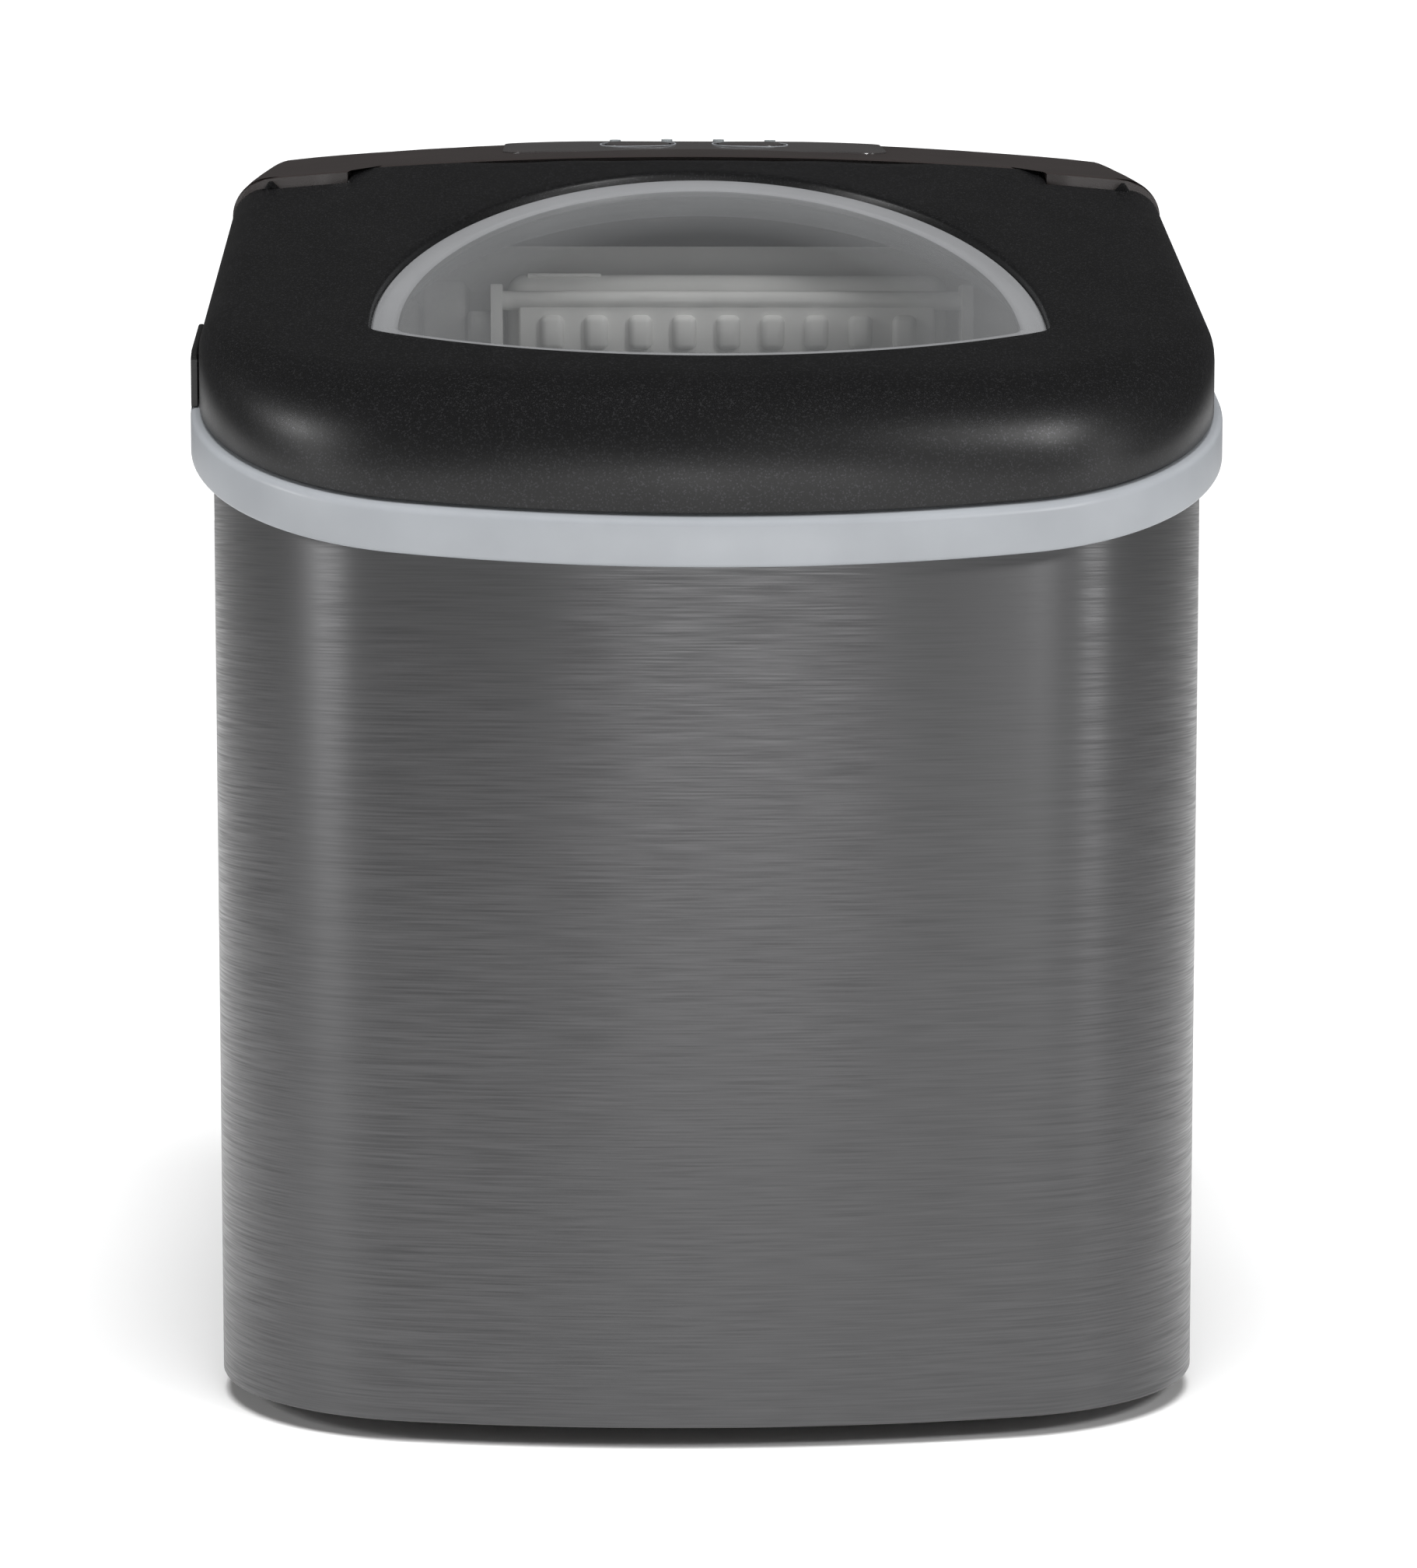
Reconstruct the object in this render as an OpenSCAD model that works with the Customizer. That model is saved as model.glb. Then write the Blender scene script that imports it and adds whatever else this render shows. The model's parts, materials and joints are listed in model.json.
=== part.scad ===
// Countertop ice maker: sheet-metal body, sloping lid with a window, tilting ice tray,
// basket, and the cooling plant behind the insulated bin.

/* [Body] */
// Width of the sheet-metal body
body_w = 232; // [220:1:240]
// Depth of the sheet-metal body
body_d = 348; // [345:1:352]
// Radius of the two front corners
corner_r = 60; // [50:1:64]
// Radius of the two rear corners
rear_corner_r = 24; // [18:1:30]
// Radius of the front panel's gentle bulge
front_arc_r = 318; // [280:1:400]
// Height of the sheet-metal lower edge above the table
skirt_z = 5; // [4:0.5:8]
// Thickness of the sheet metal
sheet_t = 0.8; // [0.6:0.1:1]

/* [Rim and collar] */
// Height of the collar's lower edge at the front
rim_front_z = 199.2; // [196:0.2:204]
// Rise of the rim towards the rear, in degrees
rim_slope = 21.2; // [20:0.1:22]
// Height of the collar band
collar_h = 10.3; // [9:0.1:12]
// How far the collar stands out from the body
collar_out = 5.2; // [5:0.1:5.6]

/* [Lid] */
// Thickness of the lid skin
lid_t = 2.4; // [2:0.1:3]
// Radius of the lid's front edge
lid_front_r = 26; // [22:1:28]
// Radius of the lid's side edges
lid_side_r = 9; // [7:1:11]
// Radius of the crown across the lid and deck
crown_r = 1170; // [1000:10:1600]
// Width of the window
window_w = 157; // [150:1:160]
// Depth of the window, seen from above
window_d = 126; // [112:1:128]
// How far the window lies below the lid's surface
window_drop = 2.5; // [2:0.1:3]

/* [Bin and mechanism] */
// Thickness of the insulation
foam_t = 12.6; // [11:0.2:13]
// Wall of the inner liner
liner_t = 2; // [1.8:0.1:2.2]
// Length of the water tray
tray_l = 108; // [100:1:108]
// Number of freezing fingers
finger_count = 9; // [7:1:9]
// Radius of a freezing finger
finger_r = 5; // [4:0.1:5.4]
// Height of the ice basket
basket_h = 96; // [80:1:100]

/* [Cooling plant] */
// Radius of the compressor shell
compressor_r = 50; // [44:1:50]
// Height of the compressor's straight wall
compressor_h = 96; // [80:1:100]
// Radius of the fan blades
fan_r = 36; // [30:1:37]

/* [Hidden] */
$fn = 64;

half_w = body_w / 2;
front_y = -body_d / 2;
rear_y = body_d / 2;
slope = tan(rim_slope);
knee_y = 10;
flange_t = 2;
sheet_end_y = 150;
wide = 320;
tall = 360;
gap = 0.5;

lid_rear_y = -14;
ear_x = 89.5;
ear_y = -22;
ear_clearance = 2.6;
hinge_y = -17.8;
hinge_z = 291.6;
hinge_pin_r = 1.5;
barrel_r = 6.1;
lid_gap = 0.8;
lid_skin_out = 3.2;
surface_slope = 0.395;
surface_front_y = -148;
surface_front_z = 246.3;
deck_slope = 0.157;
deck_knee_y = 43;
deck_lip_y = lid_rear_y + gap;
deck_t = 2.5;

liner_floor_z = 22;
liner_rear_y = 40;
liner_inset = sheet_t + foam_t + 0.6;
foam_gap = 0.2;
ledge_z = 70;
ledge_h = 6;
pivot_y = 14;
pivot_z = 232;
shaft_r = 3;
tray_d = 50;
tray_h = 24;
tray_x = -47;
plate_t = 3;

function rim_z(y) = rim_front_z + slope * (min(y, knee_y) - front_y);
function lid_top(y) = surface_front_z + surface_slope * (y - surface_front_y);
function deck_top(y) = lid_top(lid_rear_y) + deck_slope * (min(y, deck_knee_y) - lid_rear_y);

function arc(cx, cy, r, a0, a1, n) =
    [for (i = [0:n]) let (a = a0 + (a1 - a0) * i / n) [cx + r * cos(a), cy + r * sin(a)]];
function mirror_x(points) = [for (i = [len(points) - 1:-1:0]) [-points[i][0], points[i][1]]];

// Right half of the body outline, from the front centre to the rear centre.
function half_outline(inset) =
    let (chord = half_w - corner_r, turn = asin(chord / (front_arc_r - corner_r)),
        corner_y = front_y + front_arc_r - (front_arc_r - corner_r) * cos(turn),
        rr = max(2, rear_corner_r - inset))
    concat(arc(0, front_y + front_arc_r, front_arc_r - inset, -90, -90 + turn, 5),
        arc(chord, corner_y, corner_r - inset, -90 + turn, 0, 10),
        arc(half_w - inset - rr, rear_y - inset - rr, rr, 0, 90, 6));

module outline(inset) polygon(concat(half_outline(inset), mirror_x(half_outline(inset))));

// A prism along X whose section is given in the Y-Z plane.
module along_x(points, width = wide)
    translate([-width / 2, 0, 0]) rotate([90, 0, 90]) linear_extrude(width) polygon(points);

// Everything between the floor and the rim line, raised by lift.
module under_rim(lift = 0, low = 0)
    along_x([[-200, low], [200, low], [200, rim_z(200) + lift], [knee_y, rim_z(knee_y) + lift],
        [-200, rim_z(-200) + lift]]);

module over_rim(lift = 0)
    along_x([[-200, rim_z(-200) + lift], [knee_y, rim_z(knee_y) + lift],
        [200, rim_z(200) + lift], [200, tall], [-200, tall]]);

module body_prism(inset, low, high) translate([0, 0, low]) linear_extrude(high - low) outline(inset);

module block(x0, x1, y0, y1, z0, z1) translate([x0, y0, z0]) cube([x1 - x0, y1 - y0, z1 - z0]);

module rod_x(x0, x1, y, z, r) translate([x0, y, z]) rotate([0, 90, 0]) cylinder(h = x1 - x0, r = r);

module rod_y(x, y0, y1, z, r) translate([x, y1, z]) rotate([90, 0, 0]) cylinder(h = y1 - y0, r = r);

module rod_z(x, y, z0, z1, r) translate([x, y, z0]) cylinder(h = z1 - z0, r = r);

// ---- Body ----

foot_r = 10;
foot_x = 88;
foot_y0 = -125;
foot_y1 = 152;

module at_feet() for (x = [-foot_x, foot_x], y = [foot_y0, foot_y1]) translate([x, y, 0]) children();

module base_plate() color("dimgray") difference() {
    body_prism(2 + foam_gap, skirt_z + gap, skirt_z + gap + plate_t);
    at_feet() cylinder(h = 20, r = 3.1);
}

module rubber_feet() color("black") at_feet() {
    cylinder(h = skirt_z + gap, r = foot_r);
    cylinder(h = skirt_z + gap + plate_t, r = 3);
}

module steel_wrap() color("#555555") intersection() {
    difference() {
        body_prism(0, skirt_z, tall);
        body_prism(sheet_t, 0, tall + 1);
        over_rim(collar_h - flange_t - 0.2);
    }
    block(-wide, wide, -wide, sheet_end_y, 0, tall);
}

vent_rows = 16;
vent_pitch = 9;
vent_h = 4;
gland_x = 88;
gland_z = 36;
gland_r = 9;
drain_x = 8;
drain_z = 30;
drain_r = 5;

module at_screws() for (x = [-60, 0, 60], z = [16, 226]) translate([x, rear_y, z]) children();

module rear_panel() color("black") difference() {
    intersection() {
        difference() {
            body_prism(0, skirt_z, tall);
            body_prism(2, 0, tall + 1);
            over_rim(collar_h - flange_t - 0.2);
        }
        block(-wide, wide, sheet_end_y + 0.4, wide, 0, tall);
    }
    for (i = [0:vent_rows - 1], x = [-34, 34])
        block(x - 30, x + 30, rear_y - 5, rear_y + 5, 62 + vent_pitch * i, 62 + vent_pitch * i + vent_h);
    rod_y(gland_x, rear_y - 10, rear_y + 5, gland_z, gland_r);
    rod_y(drain_x, rear_y - 10, rear_y + 5, drain_z, drain_r + 2.6);
    at_screws() rod_y(0, -10, 5, 0, 1.7);
}

module collar() color("silver") difference() {
    intersection() {
        body_prism(-collar_out, 0, tall);
        over_rim();
        under_rim(collar_h);
    }
    intersection() {
        body_prism(-0.15, 0, tall);
        under_rim(collar_h - flange_t);
    }
    body_prism(liner_inset + liner_t, 0, tall);
}

grip_y = -114;
grip_len = 22;
grip_h = 12;

// Dark pad on the left edge of the collar, where a finger lifts the lid.
module lid_grip_insert() color("black") intersection() {
    difference() {
        body_prism(-collar_out, 0, tall);
        body_prism(-lid_skin_out - 0.4, 0, tall);
    }
    block(-wide, 0, grip_y, grip_y + grip_len, 0, tall);
    over_rim(collar_h);
    under_rim(collar_h + grip_h);
}

module inner_liner() color("white") difference() {
    union() {
        difference() {
            intersection() {
                body_prism(liner_inset, liner_floor_z, tall);
                block(-wide, wide, -wide, liner_rear_y, 0, tall);
                under_rim(collar_h - flange_t - 0.2);
            }
            intersection() {
                body_prism(liner_inset + liner_t, liner_floor_z + liner_t, tall);
                block(-wide, wide, -wide, liner_rear_y - liner_t, 0, tall);
            }
        }
        for (side = [-1, 1])
            translate([side * (half_w - liner_inset - 9), -78, ledge_z + ledge_h / 2])
                cube([16, 60, ledge_h], center = true);
    }
    rod_y(-20, 30, 50, 250, 3.4);
    rod_y(37, 30, 50, 245, 4.4);
    rod_y(37, 30, 50, 30, 4.4);
    rod_y(drain_x, 30, 50, drain_z, drain_r + 0.2);
}

module insulation_foam() color("wheat") difference() {
    intersection() {
        body_prism(sheet_t + foam_gap, skirt_z + gap + plate_t + foam_gap, tall);
        block(-wide, wide, -wide, liner_rear_y, 0, tall);
        under_rim(collar_h - flange_t - 0.4);
    }
    body_prism(liner_inset - foam_gap, liner_floor_z - foam_gap, tall);
    at_feet() cylinder(h = skirt_z + plate_t + 4, r = 4);
}

// ---- Rear deck and controls ----

deck_out = 3.4;
overlay_w = 102;
overlay_y0 = 3;
overlay_y1 = 42;
overlay_rise = 0.3;
overlay_sink = 1.2;
light_pitch = 14;
light_y = 34;
button_x = 15;
button_w = 17;
button_d = 12;
button_y = 20;
deck_tilt = atan(deck_slope);
deck_side_r = 11;
deck_rear_r = 12;

// Side section of the deck below its crowned top, sunk by d.
module deck_section(d) let (rear = rear_y + deck_out, top = deck_top(deck_knee_y)) along_x(concat(
    [[deck_lip_y + d - 12, 200], [deck_lip_y + d - 12, tall]],
    arc(rear - deck_rear_r, top - deck_rear_r, deck_rear_r - d, 90, 0, 6),
    [[rear - d, 200]]));

// How far the crown has fallen at x, less a little so that the side circle meets it cleanly.
function side_drop(x) = x * x / (2 * crown_r) - 0.3;

// Crowned cross-section, swept from front to rear and sunk by d.
module crown_section(half, side_r, d, top) rotate([90, 0, 0]) linear_extrude(2 * wide, center = true)
    intersection() {
        translate([0, top - d - crown_r]) circle(crown_r, $fn = 720);
        union() {
            translate([-half + d, 0]) square([2 * (half - d), top - 2 * side_r]);
            translate([-half + d + side_r, 0]) square([2 * (half - d - side_r), top]);
            for (side = [-1, 1])
                translate([side * (half - d - side_r), top - d - side_r - side_drop(half - d - side_r)])
                    circle(side_r);
        }
    }

// The crowned section swept through the deck's top at y, at a tilt.
module deck_crown(y, tilt, d) translate([0, y, deck_top(y)]) rotate([tilt, 0, 0])
    translate([0, 0, -200]) crown_section(half_w + deck_out, deck_side_r, d, 200);

module deck_blank(d) intersection() {
    body_prism(-deck_out + d, 0, tall);
    deck_section(d);
    deck_crown(lid_rear_y, deck_tilt, d);
    deck_crown(deck_knee_y, 0, d);
}

// Places its children on the deck's surface, in the plane of the controls.
module on_deck(x, y) translate([x, y, deck_top(y) - x * x / (2 * crown_r)]) rotate([deck_tilt, 0, 0])
    children();

module pill(w, d, h, r) linear_extrude(h) hull() for (sx = [-1, 1], sy = [-1, 1])
    translate([sx * (w / 2 - r), sy * (d / 2 - r)]) circle(r, $fn = 32);

module rear_deck() color("#2a2625") difference() {
    deck_blank(0);
    difference() {
        deck_blank(deck_t);
        block(-wide, wide, -wide, deck_lip_y + 2.4, 0, tall);
    }
    block(-ear_x - gap, ear_x + gap, -wide, deck_lip_y, 0, tall);
    block(-wide, wide, -wide, ear_y, 0, tall);
    intersection() {
        body_prism(-20, 0, tall);
        under_rim(collar_h);
    }
    rod_x(-ear_x - gap, ear_x + gap, hinge_y, hinge_z, barrel_r + gap);
    for (side = [-1, 1])
        rod_x(side * 93.5 - 4, side * 93.5 + 4, hinge_y, hinge_z, hinge_pin_r + 0.05);
    overlay_blank(-overlay_sink, 6);
    control_holes();
}

// Wells for the two buttons and the four indicator lights.
module control_holes() {
    for (x = [-button_x, button_x]) on_deck(x, button_y) translate([0, 0, -20])
        pill(button_w + 0.8, button_d + 0.8, 40, 5.4);
    for (i = [-1.5:1:1.5]) on_deck(i * light_pitch, light_y) translate([0, 0,
        -20]) cylinder(h = 40, r = 1.6);
}

// Outline of the control strip between two heights over the deck.
module overlay_blank(low, high) on_deck(0, (overlay_y0 + overlay_y1) / 2) translate([0, 0, low])
    pill(overlay_w, overlay_y1 - overlay_y0, high - low, 8);

module control_overlay() color("#3a3636") difference() {
    overlay_blank(-overlay_sink, overlay_rise);
    control_holes();
}

module control_button(x) on_deck(x, button_y) difference() {
    union() {
        translate([0, 0, -deck_t - 2]) pill(button_w, button_d, deck_t + 3.6, 5);
        translate([0, 0, -deck_t - 3.6]) pill(button_w + 3, button_d + 3, 1.6, 6);
    }
    translate([0, 0, 1.2]) pill(button_w - 3, button_d - 3, 2, 4);
}

module power_button() color("#4a4646") control_button(-button_x);

module select_button() color("#4a4646") control_button(button_x);

module indicator_lights() color("white") for (i = [-1.5:1:1.5]) on_deck(i * light_pitch, light_y)
    translate([0, 0, -6]) cylinder(h = 6.6, r = 1.5);

module control_board() color("darkgreen") {
    on_deck(0, 24) translate([-46, -18, -11]) cube([92, 36, 1.6]);
    for (x = [-button_x, button_x]) on_deck(x, button_y) translate([-3, -3, -9.4]) cube([6, 6, 1.6]);
}

// ---- Lid ----

lid_y0 = front_y - lid_skin_out + 0.6;
lid_tilt = atan(surface_slope);
lid_front_arc = arc(lid_y0 + lid_front_r, lid_top(lid_y0 + lid_front_r) - lid_front_r / cos(lid_tilt),
    lid_front_r, 180, 90 + lid_tilt, 12);

// Side section of the lid, sunk by d.
module lid_section(d) along_x(concat(
    [[lid_rear_y - d, 200], [lid_y0 + d, 200]],
    [for (p = lid_front_arc) [p[0] + d * 0.9, p[1] - d * 0.5]],
    [[lid_rear_y - d, lid_top(lid_rear_y) - d]]));

// Crowned cross-section, swept along the lid's slope.
module lid_crown(d) translate([0, 0, lid_top(0)]) rotate([lid_tilt, 0, 0])
    translate([0, 0, -200]) crown_section(half_w + lid_skin_out, lid_side_r, d, 200);

module lid_blank(d) intersection() {
    body_prism(-lid_skin_out + d, 0, tall);
    lid_section(d);
    lid_crown(d);
}

window_y0 = -152.8;
window_z0 = 225;
window_bow = 33;
window_front_r = 145;

// D-shaped outline of the window: a bowed front edge and a half-elliptical rear edge.
module window_shape(d) offset(r = 6) offset(delta = -6 - d) intersection() {
    translate([0, window_y0 + window_front_r]) circle(window_front_r, $fn = 120);
    union() {
        translate([0, window_y0 + window_bow]) scale([1, (window_d - window_bow) / (window_w / 2)])
            circle(window_w / 2, $fn = 64);
        translate([-window_w / 2, window_y0]) square([window_w, window_bow]);
    }
}

module window_prism(d) translate([0, 0, window_z0]) linear_extrude(tall - window_z0) window_shape(d);

module lid_shell() color("#1c1c1c") difference() {
    lid_blank(0);
    difference() {
        lid_blank(lid_t);
        for (side = [-1, 1]) block(side * 86 - 3.5, side * 86 + 3.5, ear_y, 0, 284, tall);
    }
    intersection() {
        body_prism(-20, 0, tall);
        under_rim(collar_h + lid_gap);
    }
    window_prism(0);
    difference() {
        block(-wide, wide, hinge_y, 0, 0, tall);
        block(-wide, wide, hinge_y, 0, 0, hinge_z);
        rod_x(-wide, wide, hinge_y, hinge_z, barrel_r);
    }
    for (side = [-1, 1]) {
        block(side * (ear_x + 50) - 50, side * (ear_x + 50) + 50, ear_y - ear_clearance, 0, 0, tall);
        rod_x(side * 86 - 4, side * 86 + 4, hinge_y, hinge_z, hinge_pin_r);
    }
}

module lid_hinge_pins() color("silver") for (side = [-1, 1])
    rod_x(side * 89.5 - 7, side * 89.5 + 7, hinge_y, hinge_z, hinge_pin_r);

module lid_window() color("lightblue", 0.4) intersection() {
    window_prism(0.2);
    difference() {
        lid_crown(window_drop);
        lid_crown(window_drop + 2);
    }
}

// Flange that clips the window in from below: a rim round its edge and a lip under it.
module window_retainer() color("black") {
    difference() {
        intersection() {
            lid_crown(lid_t + 0.2);
            window_prism(-4);
        }
        window_prism(-0.3);
        lid_crown(lid_t + 8.2);
    }
    difference() {
        intersection() {
            lid_crown(lid_t + 3);
            window_prism(-1);
        }
        window_prism(3);
        lid_crown(lid_t + 5.2);
    }
}

// Double wall of the lid, with a skirt that locates in the bin's mouth.
module lid_inner_frame() color("black") for (step = [[1.2, -5], [2 - liner_inset - liner_t, 7]])
    intersection() {
        difference() {
            body_prism(liner_inset + liner_t + step[0], 0, tall);
            body_prism(liner_inset + liner_t + 3.2, 0, tall);
        }
        under_rim(collar_h + 9);
        over_rim(collar_h + step[1]);
        block(-wide, wide, -wide, -32, 0, tall);
    }

// ---- Freezing mechanism ----

finger_pitch = 22.4;
finger_row_y = [-20, -2];
manifold_z = 250;
cover_x0 = -49;
cover_x1 = 64;
cover_y0 = -30;
cover_y1 = 12;
cover_z0 = 246.4;
cover_z1 = 268;

module evaporator_fingers() color("silver") {
    for (i = [0:finger_count - 1]) let (x = -38 + i * finger_pitch / 2, y = finger_row_y[i % 2]) {
        rod_z(x, y, 222, manifold_z - 2, finger_r);
        translate([x, y, 222]) sphere(finger_r);
    }
    for (y = finger_row_y) rod_x(-44, 58, y, manifold_z, 4);
    block(-44, -38, finger_row_y[0], finger_row_y[1], manifold_z - 3, manifold_z + 3);
}

cover_r = 5;
module cover_section(d, low) polygon(concat([[cover_x1 - d, low], [cover_x1 - d, cover_z1 - d]],
    arc(cover_x0 + cover_r, cover_z1 - cover_r, cover_r - d, 90, 180, 6), [[cover_x0 + d, low]]));

module evaporator_cover() color("white") difference() {
    translate([0, cover_y1, 0]) rotate([90, 0, 0]) linear_extrude(cover_y1 - cover_y0)
        cover_section(0, cover_z0);
    translate([0, cover_y1 - 2, 0]) rotate([90, 0, 0]) linear_extrude(cover_y1 - cover_y0 - 4)
        cover_section(2, cover_z0 - 5);
    block(-26, -14, cover_y1 - 5, cover_y1 + 5, cover_z0 - 1, 256);
}

bearing_x = 68;
module mechanism_bracket() color("white") {
    difference() {
        union() {
            block(bearing_x - plate_t / 2, bearing_x + plate_t / 2, -30, 34, 222, 246);
            block(-53, -50, -30, 34, 222, 246);
            block(-53, bearing_x + plate_t / 2, 34, liner_rear_y - liner_t, 238, 246);
            for (x = [-51.5, bearing_x])
                block(x - plate_t / 2, x + plate_t / 2, pusher_y - 4, -29, 236, pusher_z + 3);
        }
        rod_x(-60, 80, pusher_y + 0.6, pusher_z - 1, 2.46);
        rod_y(hose_x, 30, 50, 245, 6);
        rod_x(-60, 80, pivot_y, pivot_z, shaft_r + 0.06);
    }
}

module gear_motor() color("gainsboro") difference() {
    union() {
        block(-88, -58, -8, 37, 216, 248);
        rod_x(-58, -53.6, pivot_y, pivot_z, 8);
    }
    rod_x(-66, -50, pivot_y, pivot_z, shaft_r + 0.06);
}

module motor_cover() color("white") {
    block(-90, -56, -12, 37, 248.2, 252);
    block(-84, -72, -12, 20, 252, 262);
    block(-71, -60, -16, 20, 252, 267);
    block(-59.5, -51, -20, 20, 248.2, 259);
}

// Trough that hangs from a boss along its rear upper edge.
module water_tray() color("white") difference() {
    union() {
        block(tray_x, tray_x + tray_l, pivot_y - tray_d, pivot_y, pivot_z - tray_h + 8, pivot_z + 2);
        hull() for (y = [pivot_y - tray_d + 8, pivot_y - 8])
            rod_x(tray_x, tray_x + tray_l, y, pivot_z - tray_h + 8, 8);
        rod_x(tray_x, tray_x + tray_l, pivot_y, pivot_z, 5);
    }
    hull() for (y = [pivot_y - tray_d + 8, pivot_y - 10])
        rod_x(tray_x + 2, tray_x + tray_l - 2, y, pivot_z - tray_h + 8, 6);
    block(tray_x + 2, tray_x + tray_l - 2, pivot_y - tray_d + 2, pivot_y - 4, pivot_z - tray_h + 8, tall);
    rod_x(-60, 80, pivot_y, pivot_z, shaft_r);
}

module tray_shaft() color("silver") rod_x(-64, bearing_x + 4, pivot_y, pivot_z, shaft_r);

pusher_y = -36;
pusher_z = 262;
module ice_pusher() color("white") {
    block(-46, 60, pusher_y - 1, pusher_y + 1.6, 240, pusher_z);
    rod_x(-52.6, bearing_x + 1, pusher_y + 0.6, pusher_z - 1, 2.4);
    for (i = [0:finger_count - 1])
        translate([-37.5 + i * finger_pitch / 2, pusher_y - 1, 254]) {
            rotate([90, 0, 0]) cylinder(h = 2.4, r = 3);
            translate([-3, -2.4, -5]) cube([6, 2.4, 5]);
        }
}

module ice_sensors() color("black") for (side = [-1, 1])
    rod_x(side * 96.5 - 3.5, side * 96.5 + 3.4, -70, 205, 4);

module water_spout() color("white") difference() {
    union() {
        block(30, 44, 17, 33, 240, 250);
        rod_z(37, 21, 238, 240, 4);
    }
    rod_z(37, 21, 230, 246, 2.5);
    rod_y(37, 20, 40, 245, 2.5);
}

// ---- Water circuit ----

hose_x = 37;
pump_y = 60;

module silicone_hose() color("lightgray") {
    rod_y(hose_x, 33.2, 55, 245, 4);
    translate([hose_x, 55, 245]) sphere(4);
    rod_z(hose_x, 55, 42, 245, 4);
}

module water_pump() color("black") difference() {
    union() {
        rod_z(hose_x, pump_y, 10, 34, 16);
        rod_z(hose_x, 55, 34, 41.8, 3.6);
        rod_y(hose_x, 34, 50, 30, 4.2);
    }
    rod_z(hose_x, pump_y, 13, 23, 13.5);
}

module pump_impeller() color("white") {
    difference() {
        union() {
            rod_z(hose_x, pump_y, 13.6, 22.4, 4);
            for (a = [0:60:300]) translate([hose_x, pump_y, 13.6]) rotate([0, 0, a])
                translate([-0.8, 3, 0]) cube([1.6, 10, 8.8]);
        }
        rod_z(hose_x, pump_y, 13, 18, 1.6);
    }
}

module pump_filter() color("gray") difference() {
    block(24, 50, 22, 33.8, 24.2, 38);
    block(26, 48, 24, 40, 26, 36);
    for (x = [28:4:46]) block(x - 1, x + 1, 20, 26, 27, 35);
}

basket_inset = 20;
basket_rear_y = -46;
basket_z = ledge_z + ledge_h + 0.3;
module basket_prism(inset, low, high) intersection() {
    body_prism(inset, low, high);
    block(-wide, wide, -wide, basket_rear_y + basket_inset - inset, 0, tall);
}

module ice_basket() color("white", 0.8) difference() {
    union() {
        basket_prism(basket_inset, basket_z, basket_z + basket_h);
        basket_prism(basket_inset - 2, basket_z + basket_h - 3, basket_z + basket_h);
    }
    basket_prism(basket_inset + 2, basket_z + 2, tall);
    for (x = [-60:15:60], y = [-135:15:-60]) block(x - 4, x + 4, y - 3, y + 3, 0, basket_z + 5);
    for (i = [-4:4]) block(i * 16 - 4, i * 16 + 4, -wide, wide, basket_z + 20, basket_z + 34);
    block(-30, 30, -90, 0, basket_z + basket_h - 14, basket_z + basket_h - 6);
}

scoop_z = basket_z + 2.4;
module ice_scoop() color("white", 0.8) difference() {
    union() {
        block(-32, 32, -140, -82, scoop_z, scoop_z + 30);
        block(-9, 9, -83, -52, scoop_z + 18, scoop_z + 30);
    }
    block(-30, 30, -150, -84, scoop_z + 2, scoop_z + 40);
    block(-7, 7, -80, -50, scoop_z + 10, scoop_z + 28);
}

module drain_tube() color("lightgray") difference() {
    rod_y(drain_x, 34, 172, drain_z, drain_r);
    rod_y(drain_x, 20, 200, drain_z, drain_r - 1.5);
}

module drain_plug() color("black") {
    rod_y(drain_x, 161, 172.4, drain_z, drain_r - 1.7);
    rod_y(drain_x, 172.4, 176, drain_z, drain_r + 2);
    block(drain_x - 1.5, drain_x + 1.5, 176, 178.6, drain_z - 6, drain_z + 6);
}

// ---- Cooling plant ----

comp_x = -52;
comp_y = 112;
comp_z = 15;
module compressor() color("black") {
    difference() {
        union() {
            rod_z(comp_x, comp_y, comp_z + 12, comp_z + 12 + compressor_h, compressor_r);
            block(comp_x - 44, comp_x + 44, comp_y - 44, comp_y + 44, comp_z, comp_z + 2);
            for (z = [comp_z + 12, comp_z + 12 + compressor_h]) intersection() {
                translate([comp_x, comp_y, z]) scale([1, 1, 0.3]) sphere(compressor_r);
                rod_z(comp_x, comp_y, z - 11.5, z + 16, compressor_r);
            }
        }
        rod_z(comp_x, comp_y, comp_z + 14, comp_z + 10 + compressor_h, compressor_r - 3);
    }
    rod_z(comp_x, comp_y, comp_z + 10, comp_z + 4 + compressor_h, 32);
}

module compressor_mounts() color("black") {
    for (a = [45:90:315]) {
        x = comp_x + 50 * cos(a);
        y = comp_y + 50 * sin(a);
        rod_z(x, y, skirt_z + gap + plate_t, comp_z, 7);
    }
}

module relay_cover()
    color("dimgray") block(comp_x + compressor_r + 0.1, comp_x + compressor_r + 12, 100, 124, 50, 84);

cond_x0 = 22;
cond_x1 = 100;
cond_y0 = 84;
cond_y1 = 103;
cond_z0 = 30;
cond_z1 = 140;
module condenser() color("silver") {
    for (i = [0:12])
        block(cond_x0 + 4 + i * 5.8, cond_x0 + 4.8 + i * 5.8, cond_y0, cond_y1, cond_z0, cond_z1);
    for (z = [cond_z0 + 8:13.4:cond_z1 - 5]) rod_x(cond_x0, cond_x1, cond_y0 + 9.5, z, 3);
    for (x = [cond_x0, cond_x1 - 1.5]) block(x, x + 1.5, cond_y0 - 2, cond_y1 + 2, 8.7, cond_z1 + 2);
}

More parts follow.
